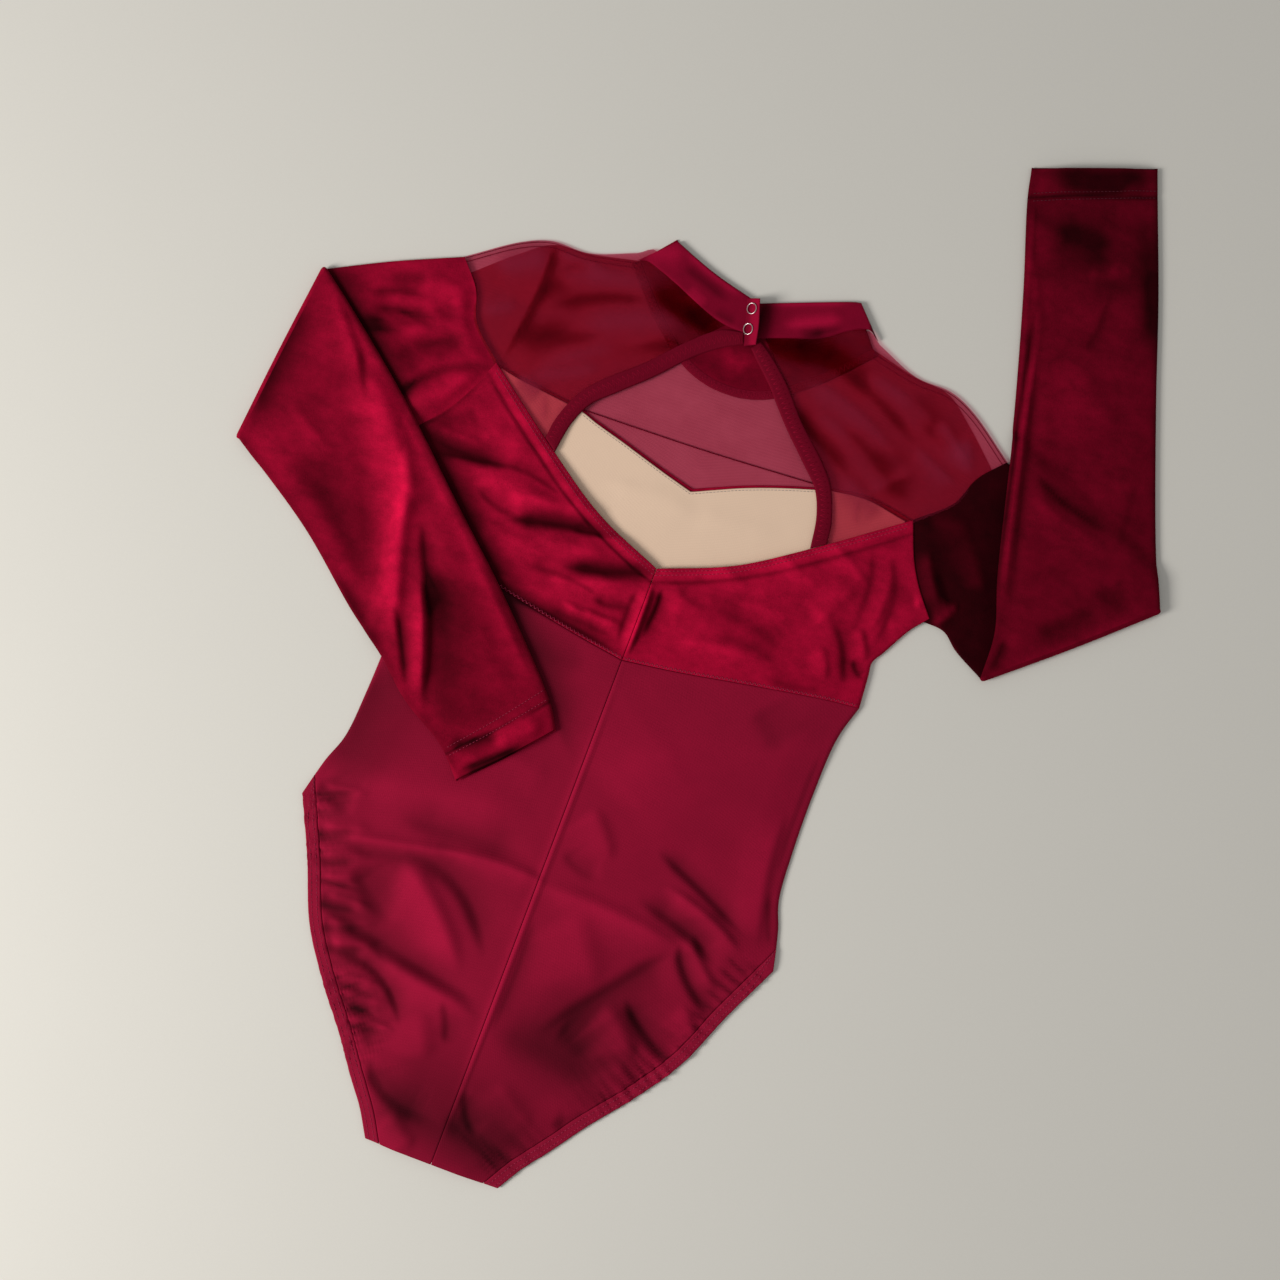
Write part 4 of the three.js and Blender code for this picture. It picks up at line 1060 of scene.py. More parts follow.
def frontCollarGrid(cut):
    across = spread(230, 2.5)
    up = spread(28, 2.0)
    inner = neckFront.aside(0.3).points
    inner[0, 0] = 0
    v = up[:, None, None]
    return (1 - v) * acrossMiddle(Line(inner)).at(across)[None] + v * acrossMiddle(neckFrontTop).at(across)[None]


frontCollarShape = frontCollarGrid(collarCut)
# The front collar's inside lies in shade under the back collar: painted shade, half the collar's tone
clothPanel("collarFront", "collar_front", frontCollarShape, np.zeros(frontCollarShape.shape[:2]),
           dict(collarCut, thickness=1.2, crown=0.3, restsOn=["floor"], material=velvetMaterial,
                tone=lambda x, y, z: 0.5 * collarToneAndShade(x, y, z)))

# Closure tab, slanted and turned with its right edge up, and its ring snaps
tab = {"left": [(2.0, 629), (-2.6, 643), (-8.5, 662)], "right": [(9.8, 632), (7.0, 645), (0.9, 664)], "seat": 1.5,
       "slope": math.tan(math.radians(35)), "thickness": 2.0}
tabLeft, tabRight = smooth(tab["left"]), smooth(tab["right"])


def tabBase(x, y):
    edge = np.interp(y, tabLeft.points[:, 1], tabLeft.points[:, 0])
    return tab["seat"] + np.maximum(0, x - edge) * tab["slope"]


# Painted light: lighter towards the tab's raised edge, which faces the light
def tabPaintedLight(x, y, z):
    return 0.62 + 0.5 * ramp(4.5, 7.5, z)


across, up = spread(9, 1.2), spread(34, 1.5)
tabShape = (1 - across[None, :, None]) * tabLeft.at(up)[:, None] + across[None, :, None] * tabRight.at(up)[:, None]
clothPanel("closureTab", "closure_tab", tabShape, tabBase(tabShape[..., 0], tabShape[..., 1]),
           dict(collarCut, thickness=tab["thickness"], crown=0.4, crownRadius=2.5, restsOn=["collarFront"],
                tone=tabPaintedLight))


# Ring of bright wire: a torus round a centre, its axis across the tab's leaning face
def snapRing(name, node, wire):
    low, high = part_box(node)
    centre = np.array((low + high) / 2) / millimetre - (shiftX, shiftY, 0)
    lean = math.atan(tab["slope"])
    along = np.array([tabLeft.points[-1, 0] - tabLeft.points[0, 0], tabLeft.points[-1, 1] - tabLeft.points[0, 1], 0.0])
    along /= np.linalg.norm(along)
    axis = np.array([-math.sin(lean), 0.0, math.cos(lean)])
    side = np.cross(along, axis)
    around, section = wire["around"], wire["section"]
    a = np.linspace(0, 2 * math.pi, around, endpoint=False)[:, None, None]
    b = np.linspace(0, 2 * math.pi, section, endpoint=False)[None, :, None]
    spoke = np.cos(a) * side + np.sin(a) * along
    points = centre + (wire["radius"] + wire["thick"] * np.cos(b)) * spoke + wire["thick"] * np.sin(b) * axis
    at = np.arange(around * section).reshape(around, section)
    corners = [at, np.roll(at, -1, 0), np.roll(at, (-1, -1), (0, 1)), np.roll(at, -1, 1)]
    faces = np.stack(corners, axis=-1).reshape(-1, 4)
    ring = makeMesh(name, points, faces, metalMaterial)
    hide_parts(node)
    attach(ring, "root")


ringWire = {"radius": 3.8, "thick": 0.33, "around": 40, "section": 12}
snapRing("snapRingTop", "snap_ring_top", ringWire)
snapRing("snapRingBottom", "snap_ring_bottom", ringWire)
print("neck made")

# Sleeves: flattened tubes, folded over at the elbow. Rows of x y; folds as on the back, their tone column painted shade
# and highlights.
sleeveCuts = {
    "left": {
        "side": -1,
        "underarm": [(-255, 467), (-313, 438)],
        "overarm": [(-255, 597), (-298, 575)],
        "elbow": [(-313, 438), (-306, 508), (-298, 575)],
        "out": (-0.994, 0.109),
        "foreA": [(-313, 438), (-247, 395), (-194, 351), (-162, 328), (-135, 305), (-100, 284), (-81, 265)],
        "foreB": [(-298, 575), (-270, 554), (-210.4, 505.6), (-151.4, 451.6), (-97, 402), (-37, 340), (-27, 324)],
        "hem": [(-81, 265), (-54, 293), (-27, 324)],
        "upperFolds": [
            (-262, 568, -246, 578, -222, 582, 3.5, -1.4, -0.4),
            (-258, 560, -236, 566, -206, 570, 3.5, -1.4, -0.4),
            (-262, 552, -240, 556, -216, 560, 3.5, -1.2, -0.3),
            (-250, 574, -232, 576, -210, 578, 3.5, 1.0, 0.16),
            (-232, 586, -216, 594, -200, 590, 6, 1.2, 0.16),
            (-222, 548, -204, 554, -186, 570, 4, -1.0, -0.3),
            (-204, 604, -192, 590, -186, 574, 5, 1.0, 0.16),
            (-222, 500, -194, 536, -152, 552, 3.5, -1.8, -0.45),
            (-214, 502, -189, 521, -160, 548, 8, 2.4, 0.36),
            (-232, 530, -210, 548, -180, 560, 7, -1.4, -0.26),
            (-268, 545, -248, 548, -224, 556, 3, -1.0, -0.3),
            (-244, 566, -226, 564, -204, 560, 2.5, -0.8, -0.26),
            (-250, 558, -230, 556, -212, 562, 2.5, 0.8, 0.2),
            (-256, 582, -240, 590, -222, 596, 4, -0.8, -0.24),
            (-216, 580, -204, 574, -190, 580, 4, -0.8, -0.3),
            (-200, 604, -196, 580, -180, 560, 4, 1.0, 0.2),
            # Painted shadow of the forearm on the upper arm
            (-326, 596, -254, 542, -176, 474, 9, 0, -0.72),
        ],
        "foreFolds": [
            (-288, 560, -264, 534, -240, 504, 5, 1.4, 0.35),
            (-254, 530, -246, 514, -236, 498, 3, -1.0, -0.25),
            (-250, 520, -206, 474, -174, 414, 12, 3.0, 0.66),
            (-190, 456, -176, 400, -156, 340, 8, 2.6, 0.66),
            (-168, 430, -152, 398, -136, 362, 5, -2.6, -0.34),
            (-154, 408, -134, 362, -114, 292, 8, -2.2, -0.3),
            (-156, 390, -139, 354, -124, 306, 4, 2.2, 0.5),
            (-166, 370, -152, 344, -136, 312, 3.5, -1.6, -0.5),
            (-124, 424, -96, 392, -50, 346, 6, 1.2, 0.16),
            (-110, 380, -90, 350, -70, 330, 13, 0.8, 0.06),
            (-146, 416, -116, 350, -92, 276, 19, 0, -0.34),
            (-300, 520, -268, 470, -214, 420, 22, 0, -0.08),
            # Painted highlight along the forearm's raised edge
            (-304, 572, -212, 497, -36, 332, 3.5, 0, 0.34),
            (-280, 444, -226, 412, -180, 362, 13, -1.4, -0.34),
            (-256, 498, -222, 450, -196, 396, 12, -0.8, -0.14),
            (-304, 566, -307, 500, -305, 440, 8, -1.0, -0.5),
            (-290, 478, -264, 461, -240, 450, 5, 0.6, 0.2),
            (-220, 380, -186, 350, -156, 326, 5, -0.8, -0.3),
            (-102, 284, -88, 271, -74, 264, 4, 1.0, 0.3),
            (-96, 286, -78, 295, -58, 308, 4, -1.2, -0.45),
            (-66, 298, -50, 312, -34, 326, 5, 1.6, 0.3),
            (-82, 270, -62, 288, -38, 310, 3.5, -1.4, -0.6),
            (-84, 262, -54, 290, -24, 322, 1.8, -1.0, -0.6),
        ],
        "tone": 0.64,
        "upperTone": 0.8,
    },
    "right": {
        "side": 1,
        "underarm": [(209, 488), (222, 478), (245, 466)],
        "overarm": [(280, 588), (348, 558)],
        "elbow": [(245, 466), (297, 511), (348, 558)],
        "out": (0.666, -0.746),
        "foreA": [(245, 466), (243, 500), (231, 537), (210, 618), (200, 656), (176, 737), (155, 801), (150.5, 821)],
        "foreB": [(348, 558), (329, 602), (293, 698), (269, 766), (243, 833), (235.5, 852.5)],
        "hem": [(150.5, 821), (193, 837), (235.5, 852.5)],
        "upperFolds": [
            (168, 560, 186, 562, 204, 556, 8, 1.2, 0.06),
            (196, 560, 211, 540, 226, 520, 8, 1.4, 0.08),
            (176, 540, 186, 520, 200, 502, 5, 1.4, 0.14),
            (188, 530, 200, 516, 212, 500, 5, -1.4, -0.08),
            (196, 496, 210, 484, 232, 470, 4, 1.0, 0.1),
            (206, 590, 200, 604, 204, 616, 7, -0.8, -0.08),
            (198, 490, 206, 500, 211, 512, 4, 2.2, 0.3),
        ],
        "foreFolds": [
            (196, 720, 216, 620, 246, 500, 2.6, 1.4, 0.22),
            (186, 740, 210, 630, 240, 500, 2.2, -1.8, -0.2),
            (204, 700, 224, 612, 252, 500, 3.0, -1.0, -0.14),
            (252, 500, 252, 486, 250, 470, 3.5, -1.6, -0.2),
            (226, 620, 262, 604, 306, 596, 4.5, -2.0, -0.2),
            (232, 604, 262, 590, 300, 584, 6, 1.4, 0.07),
            (268, 508, 290, 524, 312, 548, 6, -1.2, -0.14),
            (302, 560, 312, 552, 330, 556, 9, -0.6, -0.1),
            (176, 796, 215, 780, 270, 748, 22, 0, -0.14),
            (226, 700, 250, 680, 276, 664, 13, 1.4, 0.06),
            (236, 760, 238, 730, 232, 712, 5, -1.0, -0.08),
            (180, 776, 206, 774, 236, 782, 9, -0.8, -0.08),
            (190, 796, 214, 800, 244, 800, 6, 0.8, 0.05),
            (214, 766, 226, 768, 240, 776, 5, 1.0, 0.08),
            (258, 790, 268, 760, 276, 730, 12, -0.6, -0.14),
            (170, 818, 200, 824, 226, 838, 5, -1.2, -0.14),
            (300, 640, 306, 610, 304, 580, 7, -0.6, -0.06),
            (166, 770, 184, 740, 200, 700, 5, 0.6, 0.06),
            (146, 798, 190, 788, 240, 796, 9, 0, -0.17),
            (232, 824, 262, 770, 288, 706, 13, 0, -0.16),
            (160, 766, 204, 754, 244, 766, 9, 0, -0.07),
            (150, 818, 196, 832, 246, 850, 9, 0, -0.26),
            (250, 470, 300, 513, 350, 562, 3.2, 0.8, 0.14),
            (156, 812, 182, 728, 212, 630, 2, 1.0, 0.18),
            (215, 706, 234, 680, 250, 640, 22, 0, 0.09),
            (228, 778, 236, 776, 246, 778, 4, 0.4, 0.12),
        ],
        # Low tones of the right sleeve: its reversed nap catches less light, painted in as shade
        "tone": 0.34,
        "upperTone": 0.05,
    },
}
sleeveForm = {"half": 1.5, "wall": 0.8, "edgeRadius": 3.0, "loft": 1.8, "loftEdge": 26, "bendRows": 9, "hem": 20.0,
              "mouth": 1.8, "mouthReach": 26, "lip": 1.4, "lipReach": 4, "overlap": 0.5, "underarmTuck": 3.0,
              "underarmReach": 14, "foldGain": 1.5, "paintedSlopeLight": 0.16, "acrossStep": 2.2, "alongStep": 2.4,
              "foldEdge": 9, "bareEdge": (2, -12), "seamReach": 14, "elbowReach": 22, "grooveDepth": 0.7,
              "grooveWidth": 1.3, "hemShade": 0.6, "hemShadeWidth": 1.2, "edgeShade": 0.35, "edgeShadeWidth": 4,
              "seatReach": 7.0, "seatFade": 13.0, "width": 115,
              "upperFloor": -0.6, "upperLift": 0.4, "seamDip": 0.35, "lowerFloor": -0.7, "lowerLift": 0.3}


def sleevePaths(cut):
    flip = Line.mirrored if cut["side"] < 0 else (lambda line: line)
    hole = flip(chain(armholeLow, armholeHigh))
    fromUnderarm = np.linalg.norm(hole.points - hole.points[0], axis=1)
    tuck = sleeveForm["overlap"] + sleeveForm["underarmTuck"] * ramp(sleeveForm["underarmReach"], 0, fromUnderarm)
    hole = Line(hole.points - np.stack([cut["side"] * tuck, 1.2 * (tuck - sleeveForm["overlap"])], axis=1))
    elbow = smooth(cut["elbow"])
    underarm = smooth([tuple(hole.points[0]), *cut["underarm"]])
    overarm = smooth([tuple(hole.points[-1]), *cut["overarm"]])
    return hole, elbow, underarm, overarm, smooth(cut["foreA"]), smooth(cut["foreB"]), smooth(cut["hem"])


# What a forearm lies on: the upper arm, the torso or the floor, with soft edges between
def forearmSeat(x, y, armOutline):
    reach, fade = sleeveForm["seatReach"], sleeveForm["seatFade"]
    support = np.zeros(x.shape)
    for dx in (-reach, 0, reach):
        for dy in (-reach, 0, reach):
            px, py = x + dx, y + dy
            onArm = ramp(-fade, -2, insideLoop(armOutline, px, py)) * 2 * sleeveForm["half"]
            onTorso = ramp(-fade, -2, insideTorso(px, py)) * backTop(px, py) * (py < 690)
            support = np.maximum(support, np.maximum(onArm, onTorso))
    return support + heights["folded"] * ramp(0, 0.6, support)


# Both faces of a flattened tube, from a middle surface and the way that its first face looks.
# The half height falls to nothing at the two side edges along a quarter circle.
def sleevePiece(name, node, cut):
    form = sleeveForm
    hole, elbow, underarm, overarm, foreA, foreB, hem = sleevePaths(cut)
    across = spread(form["width"], form["acrossStep"])
    upperUp, lowerUp = spread(overarm.length, form["alongStep"]), spread(foreB.length, form["alongStep"])
    upper = patch(hole, elbow, underarm, overarm, across, upperUp)
    lower = patch(elbow, hem, foreA, foreB, across, lowerUp)[1:]
    armOutline = np.vstack([underarm.at(np.linspace(0, 1, 9)), overarm.at(np.linspace(1, 0, 9))])
    foreOutline = np.vstack([foreA.at(np.linspace(0, 1, 24)), foreB.at(np.linspace(1, 0, 24))])
    half = form["half"]
    high = 3 * half + heights["folded"]
    radius = (high - half) / 2
    turns = np.linspace(0, math.pi, form["bendRows"] + 1)[1:]
    out = np.array([*cut["out"], 0.0])
    upperMid = np.dstack([upper, np.full(upper.shape[:2], half)])
    elbowRow = np.column_stack([elbow.at(across), np.full(len(across), half)])
    rise = (1 - np.cos(turns))[:, None, None] * (0, 0, 1)
    bendMid = elbowRow[None] + radius * (np.sin(turns)[:, None, None] * out + rise)
    lowerSeat = forearmSeat(lower[..., 0], lower[..., 1], armOutline)
    lowerMid = np.dstack([lower, lowerSeat + half])
    mid = np.concatenate([upperMid, bendMid, lowerMid])
    face = np.concatenate([
        np.tile((0.0, 0.0, 1.0), (len(upper), 1)),
        -np.sin(turns)[:, None] * out + np.cos(turns)[:, None] * (0, 0, 1),
        np.tile((0.0, 0.0, -1.0), (len(lower), 1)),
    ])[:, None]
    steps = np.linalg.norm(np.diff(mid[..., :2], axis=1), axis=2)
    fromA = np.pad(np.cumsum(steps, axis=1), ((0, 0), (1, 0)))
    fromEdge = np.minimum(fromA, fromA[:, -1:] - fromA)
    profile = rounded(fromEdge, form["edgeRadius"])
    puffRoom = ramp(0, form["loftEdge"], fromEdge)
    foldRoom = ramp(0, form["foldEdge"], fromEdge)
    x, y = mid[..., 0], mid[..., 1]

    # Visible relief: on the first face of the upper arm, and on the second face of the forearm, which is turned over
    first, second = np.full(x.shape, half), np.full(x.shape, half)
    upperRows, bendRows = len(upper), form["bendRows"]
    fromHole = sideDistances(upper)["bottom"]
    bare = ramp(*form["bareEdge"], insideLoop(foreOutline, upper[..., 0], upper[..., 1]))
    upperRelief = form["loft"] * puffRoom[:upperRows]
    upperRelief += form["foldGain"] * strokes(cut["upperFolds"], upper[..., 0], upper[..., 1]) * foldRoom[:upperRows]
    seam = ramp(0, form["seamReach"], fromHole)
    first[:upperRows] += (np.maximum(upperRelief, form["upperFloor"]) + form["upperLift"]) * seam * bare
    first[:upperRows] -= form["seamDip"] * (1 - seam)
    start = upperRows + bendRows
    away = sideDistances(lower)
    fromElbow, fromHem = away["bottom"], away["top"]
    lowerRelief = form["loft"] * puffRoom[start:]
    lowerRelief += form["foldGain"] * strokes(cut["foreFolds"], lower[..., 0], lower[..., 1]) * foldRoom[start:]
    mouth = form["mouth"] * ramp(form["mouthReach"], 0, fromHem)
    groove = form["grooveDepth"] * np.exp(-(((fromHem - form["hem"]) / form["grooveWidth"]) ** 2))
    fromFold = ramp(0, form["elbowReach"], fromElbow)
    second[start:] += (np.maximum(lowerRelief, form["lowerFloor"]) + form["lowerLift"]) * fromFold
    second[start:] += mouth * puffRoom[start:] - groove
    sideways = mid[:, -1] - mid[:, 0]
    sideways = (sideways / np.linalg.norm(sideways, axis=1, keepdims=True))[:, None]
    halfWidth = fromA[:, -1:] / 2
    inset = form["wall"] * (1 - fromEdge / halfWidth) * np.where(fromA < halfWidth, 1, -1)
    innerMid = mid + sideways * inset[..., None]
    lip = np.zeros(x.shape)
    lip[start:] = form["lip"] * ramp(form["lipReach"], 0, fromHem)
    along = mid[-1].mean(0) - mid[-8].mean(0)
    along /= np.linalg.norm(along)

    def ring(middle, inner):
        thin = form["wall"] if inner else 0.0
        a = middle + face * ((first - thin) * profile)[..., None] + along * lip[..., None]
        b = middle - face * ((second - thin) * profile)[..., None]
        return np.concatenate([a, b[:, -2:0:-1]], axis=1)

    outer, inner = ring(mid, False), ring(innerMid, True)
    rows, around = outer.shape[:2]
    at = np.arange(rows * around).reshape(rows, around)
    after = np.roll(at, -1, axis=1)
    skin = np.stack([at[:-1], after[:-1], after[1:], at[1:]], axis=-1).reshape(-1, 4)
    shift = rows * around
    rims = [np.stack([after[0], at[0], at[0] + shift, after[0] + shift], axis=-1),
            np.stack([at[-1], after[-1], after[-1] + shift, at[-1] + shift], axis=-1)]
    faces = np.vstack([skin, skin[:, ::-1] + shift, *rims])
    points = np.concatenate([outer.reshape(-1, 3), inner.reshape(-1, 3)])
    tri = points[skin]
    fromMiddle = tri[:, 0] - tri.reshape(-1, 3).mean(0)
    turned = (np.cross(tri[:, 1] - tri[:, 0], tri[:, 2] - tri[:, 0]) * fromMiddle).sum()
    if turned < 0:
        faces = faces[:, ::-1]

    # Tone: painted shade and highlights of the folds, painted light on slopes that face the light, painted shade in the
    # hem's groove and along the forearm's side edges
    tone = np.full(x.shape, cut["tone"])
    tone[:upperRows] = cut["upperTone"]
    tone[:upperRows] += strokes(cut["upperFolds"], upper[..., 0], upper[..., 1], "tone")
    tone[start:] += strokes(cut["foreFolds"], lower[..., 0], lower[..., 1], "tone")
    tone[start:] += form["paintedSlopeLight"] * cut["tone"] * slopeFacingLight(cut["foreFolds"], lower[..., 0], lower[..., 1])
    tone[start:] -= form["hemShade"] * cut["tone"] * np.exp(-(((fromHem - form["hem"]) / form["hemShadeWidth"]) ** 2))
    tone[start:] *= 1 - form["edgeShade"] * np.exp(-((fromEdge[start:] / form["edgeShadeWidth"]) ** 2))
    tone = np.clip(tone, *shading["pileLimits"])
    ringTone = np.concatenate([tone, tone[:, -2:0:-1]], axis=1)
    lengths = np.linalg.norm(np.diff(mid, axis=0), axis=2).mean(1)
    v = np.tile(np.concatenate([[0], np.cumsum(lengths)])[:, None], (1, around))
    u = np.concatenate([fromA, 2 * fromA[:, -1:] - fromA[:, -2:0:-1]], axis=1)
    uv = np.dstack([u, v]).reshape(-1, 2) * millimetre
    piece = makeMesh(name, points, faces, velvetMaterial, np.tile(ringTone.ravel(), 2), np.tile(uv, (2, 1)))
    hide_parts(node)
    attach(piece, "root")
    return {"outer": outer, "start": start, "columns": len(across), "fromHem": fromHem}


leftSleeve = sleevePiece("sleeveLeft", "sleeve_left", sleeveCuts["left"])
rightSleeve = sleevePiece("sleeveRight", "sleeve_right", sleeveCuts["right"])
print("sleeves made")

# Threads: each stitch is a four-sided rod between two points; all stitches of a seam are one mesh
def stitchRods(name, starts, ends, thread):
    step = ends - starts
    step /= np.linalg.norm(step, axis=1, keepdims=True)
    side = np.cross(step, (0.0, 0.0, 1.0))
    side /= np.linalg.norm(side, axis=1, keepdims=True)
    up = np.cross(side, step)
    turn = np.array([(1, 0), (0, 1), (-1, 0), (0, -1)]) * thread["radius"]
    ring = turn[None, :, :1] * side[:, None] + turn[None, :, 1:] * up[:, None]
    points = np.concatenate([starts[:, None] + ring, ends[:, None] + ring], axis=1)
    rod = np.array([(0, 1, 5, 4), (1, 2, 6, 5), (2, 3, 7, 6), (3, 0, 4, 7), (3, 2, 1, 0), (4, 5, 6, 7)])
    faces = (rod[None] + 8 * np.arange(len(starts))[:, None, None]).reshape(-1, 4)
    seam = makeMesh(name, points, faces, thread["material"], thread.get("tone", 1.0))
    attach(seam, "root")


def onSurface(line, shares, surface, lift):
    flat = line.at(shares)
    return np.column_stack([flat, surface(flat[:, 0], flat[:, 1]) + lift])


# Straight stitches along a line, or a zigzag whose points step from side to side
def sewn(name, line, surface, thread):
    pitch, zigzag = thread["pitch"], thread.get("zigzag", 0)
    places = np.arange(thread.get("inset", 1.0), line.length - 1.0 - pitch, pitch)
    if zigzag:
        left, right = line.aside(zigzag), line.aside(-zigzag)
        both = [onSurface(edge, places / line.length, surface, thread["lift"]) for edge in (left, right)]
        knots = np.where((np.arange(len(places)) % 2 == 0)[:, None], both[0], both[1])
        stitchRods(name, knots[:-1], knots[1:], thread)
    else:
        starts = onSurface(line, places / line.length, surface, thread["lift"])
        ends = onSurface(line, (places + thread.get("fill", 0.68) * pitch) / line.length, surface, thread["lift"])
        stitchRods(name, starts, ends, thread)


def sewnPair(name, line, surface, thread):
    sewn(name + "Right", line, surface, thread)
    sewn(name + "Left", line.mirrored(), surface, thread)


edgeThread = {"pitch": 2.9, "radius": 0.2, "lift": 0.1, "material": threadMaterial, "slot": "velvet"}
ladderThread = dict(edgeThread, pitch=1.9, zigzag=2.9, radius=0.17, lift=1.66, slot="binding",
                    material=bindingMaterial, tone=1.8)
greyThread = dict(edgeThread, pitch=2.6, radius=0.17, lift=0.08, material=greyThreadMaterial, slot="lining")
seamThread = dict(edgeThread, pitch=2.0, fill=1.02, radius=0.4, lift=0.0, material=bindingMaterial, slot="mesh")
for row, drop in enumerate((1.9, 4.4)):
    sewnPair(f"vEdgeStitch{row}", Line(vEdge.points - (0, drop * 1.2)), backTop, edgeThread)
for row, inset in enumerate((2.8, 6.6)):
    sewnPair(f"legStitch{row}", legInset(inset, 0.3), backTop, dict(edgeThread, slot="knit"))
sewnPair("bandSerging", Line(bandBottom.points + (0, 1.5)), backTop, dict(edgeThread, pitch=1.7, zigzag=1.0))
for side, ends in bindingEnds.items():
    shape = bindingGrid(ends)
    middle = Line(shape[:, shape.shape[1] // 2])
    middle = middle if side == "Right" else middle.mirrored()
    sewn("bindingLadder" + side, middle, backBase, dict(ladderThread, inset=3.0))
sewn("liningStitch", Line(sweetheart(-1.7, -105, 108).points * (liningCut["share"], 1)),
     lambda x, y: np.full(x.shape, 2.3), greyThread)
sewn("insertSeam", smooth(insertSeamRows), lambda x, y: np.full(x.shape, 0.5), seamThread)
for row, drop in enumerate((1.6, 5.0)):
    sewnPair(f"shoulderStitch{row}", Line(shoulder.points - (0, drop)), lambda x, y: yokeBase(x, y) + 0.5,
             dict(seamThread, radius=0.28))

# Tape along the front neckline, sewn on with a zigzag
neckTape = {"width": 5.8, "seat": 0.55, "thickness": 0.7}
tapeInner, tapeOuter = neckFront.aside(0.8).points, neckFront.aside(-neckTape["width"]).points
tapeInner[0, 0] = tapeOuter[0, 0] = 0
across, v = spread(220, 2.5), spread(neckTape["width"], 1.0)[:, None, None]
tapeEdges = [acrossMiddle(Line(points)).at(across)[None] for points in (tapeOuter, tapeInner)]
tapeShape = (1 - v) * tapeEdges[0] + v * tapeEdges[1]
tapeTop, tapeBottom = turnEdges(tapeShape, np.full(tapeShape.shape[:2], neckTape["seat"]), neckTape["thickness"],
                                [("top", "hem", None), ("bottom", "hem", None)])
tapePoints = np.concatenate([np.dstack([tapeShape, level]).reshape(-1, 3) for level in (tapeTop, tapeBottom)])
tape = makeMesh("neckTape", tapePoints, wallFaces(*tapeTop.shape), bindingMaterial, 1.15)
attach(tape, "root")
tapeMiddle = acrossMiddle(Line((tapeInner + tapeOuter) / 2))
sewn("tapeZigzag", tapeMiddle, lambda x, y: np.full(x.shape, neckTape["seat"] + neckTape["thickness"]),
     dict(ladderThread, zigzag=2.0, pitch=1.9, lift=0.08))


# Cuff stitches: two rows on the visible face of a forearm, a hem's depth from its mouth
def cuffStitches(name, sleeve, depth, tone):
    row = sleeve["start"] + int(np.abs(sleeve["fromHem"][:, 0] - depth).argmin())
    path = sleeve["outer"][row, sleeve["columns"]:]
    reach = np.concatenate([[0], np.cumsum(np.linalg.norm(np.diff(path, axis=0), axis=1))])
    places = np.arange(2, reach[-1] - 4, 2.7)
    pick = [np.stack([np.interp(places + shift, reach, path[:, k]) for k in range(3)], axis=1) for shift in (0, 1.8)]
    stitchRods(name, pick[0] + (0, 0, 0.15), pick[1] + (0, 0, 0.15), dict(edgeThread, tone=tone))


# The right cuff's stitches carry their sleeve's painted shade
for name, sleeve, tone in (("cuffStitchLeft", leftSleeve, 0.9), ("cuffStitchRight", rightSleeve, 0.25)):
    for depth in (17.5, 22.5):
        cuffStitches(f"{name}{round(depth)}", sleeve, depth, tone)
print("sewn")

# Floor, light and camera. The camera looks straight down, turned as the photograph is.
view = {"x": -10.0, "y": -21.25, "turn": math.radians(20.75), "height": 1.28, "lens": 50, "sensor": 36}
imageRight = Vector((math.cos(view["turn"]), math.sin(view["turn"]), 0))
imageUp = Vector((-math.sin(view["turn"]), math.cos(view["turn"]), 0))
viewCentre = Vector((view["x"] * millimetre, view["y"] * millimetre, 0))


floorLook = {"name": "floor", "colour": (0.67, 0.645, 0.59), "roughness": 0.9, "specular": 0.1, "grain": 900,
             "patch": 3, "grainAmount": 0.04, "patchAmount": 0.03, "half": 3.0, "level": -0.0003}


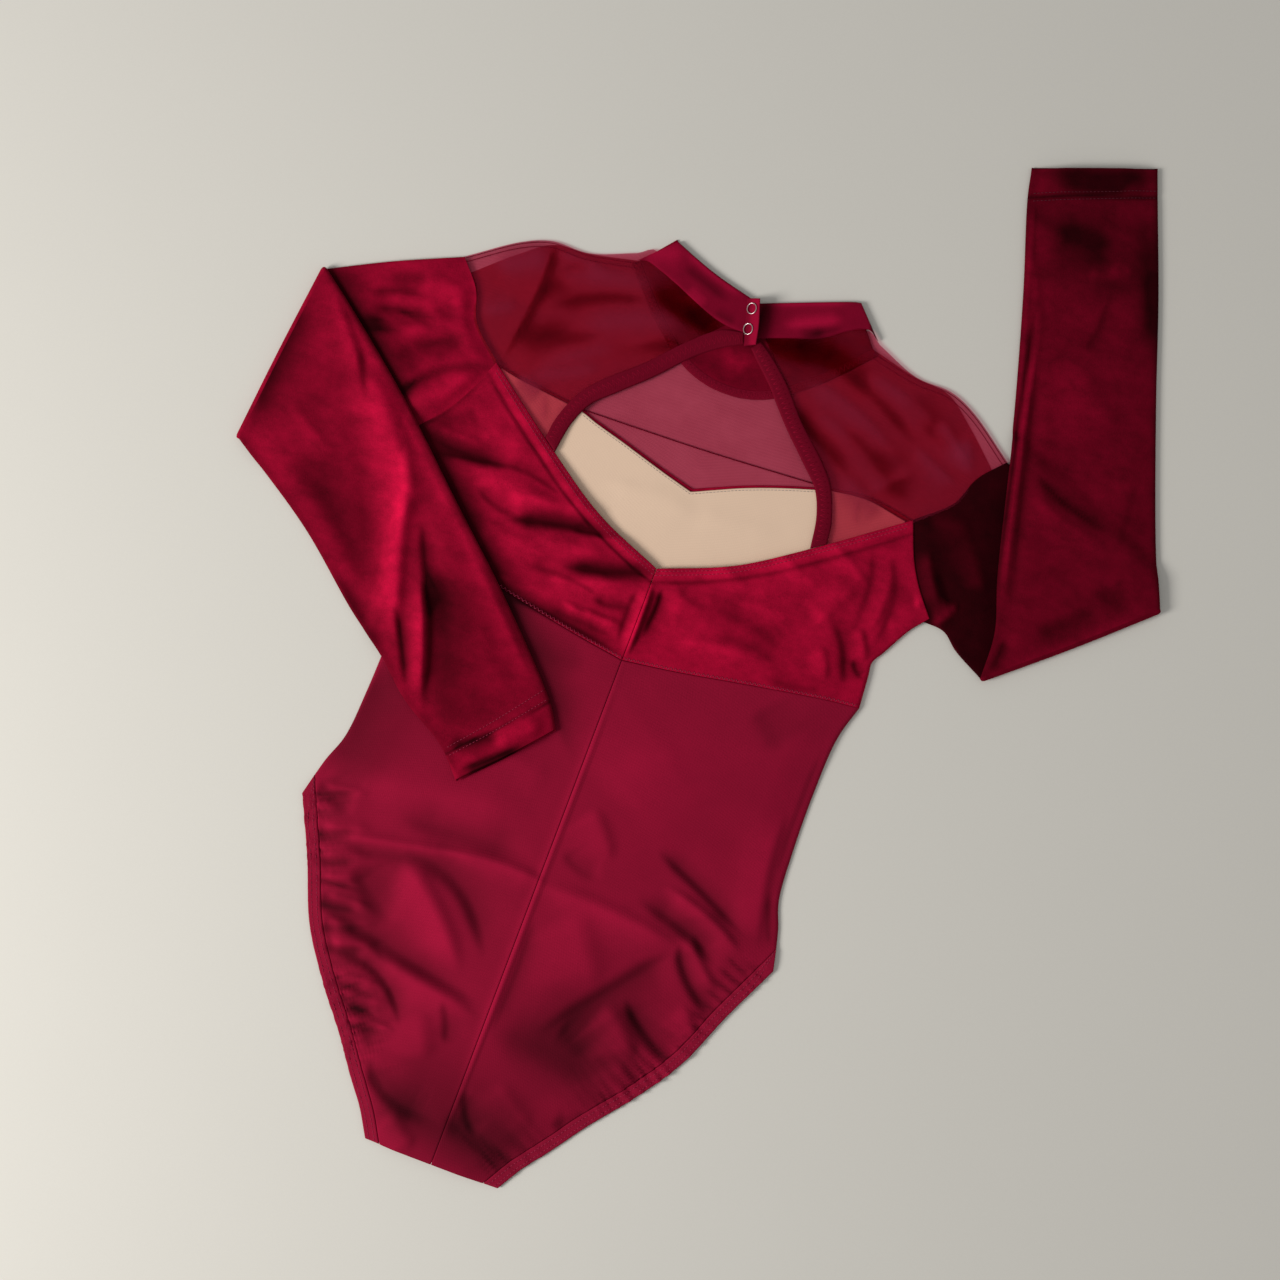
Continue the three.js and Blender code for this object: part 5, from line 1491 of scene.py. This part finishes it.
def makeFloor(look):
    mesh = bpy.data.meshes.new("floor")
    size, level = look["half"], look["level"]
    corners = [(-size, -size, level), (size, -size, level), (size, size, level), (-size, size, level)]
    mesh.from_pydata(corners, [], [(0, 1, 2, 3)])
    material, tree, shader, pileNode = newMaterial(look)
    colour = addNode(tree, "ShaderNodeVectorMath", operation="SCALE")
    colour.inputs[0].default_value = look["colour"]
    tree.links.new(pileNode.outputs["Shade"], colour.inputs["Scale"])
    tree.links.new(colour.outputs[0], shader.inputs["Base Color"])
    mesh.materials.append(material)
    floor = bpy.data.objects.new("floor", mesh)
    bpy.context.scene.collection.objects.link(floor)


lighting = {"key": 48, "keySize": 0.8, "keySide": -1.9, "keyUp": -0.4, "keyHeight": 1.2,
            "keyColour": (1.0, 0.985, 0.96), "fill": 0.39, "fillColour": (0.98, 0.99, 1.0)}


def makeLights():
    key = bpy.data.lights.new("key", "AREA")
    key.energy = lighting["key"]
    key.size = lighting["keySize"]
    key.color = lighting["keyColour"]
    lamp = bpy.data.objects.new("key", key)
    lamp.location = viewCentre + imageRight * lighting["keySide"] + imageUp * lighting["keyUp"]
    lamp.location.z += lighting["keyHeight"]
    lamp.rotation_euler = (viewCentre - lamp.location).to_track_quat("-Z", "Y").to_euler()
    bpy.context.scene.collection.objects.link(lamp)
    world = bpy.data.worlds.new("world")
    world.use_nodes = True
    world.node_tree.nodes["Background"].inputs["Color"].default_value = (*lighting["fillColour"], 1)
    world.node_tree.nodes["Background"].inputs["Strength"].default_value = lighting["fill"]
    bpy.context.scene.world = world
    bpy.context.scene.view_settings.view_transform = "Standard"


def makeCamera():
    camera = bpy.data.cameras.new("camera")
    camera.lens = view["lens"]
    camera.sensor_width = view["sensor"]
    seat = bpy.data.objects.new("camera", camera)
    seat.location = viewCentre + Vector((0, 0, view["height"]))
    seat.rotation_euler = (0, 0, view["turn"])
    bpy.context.scene.collection.objects.link(seat)
    bpy.context.scene.camera = seat


makeFloor(floorLook)
makeLights()
makeCamera()
print("floor, light and camera made")
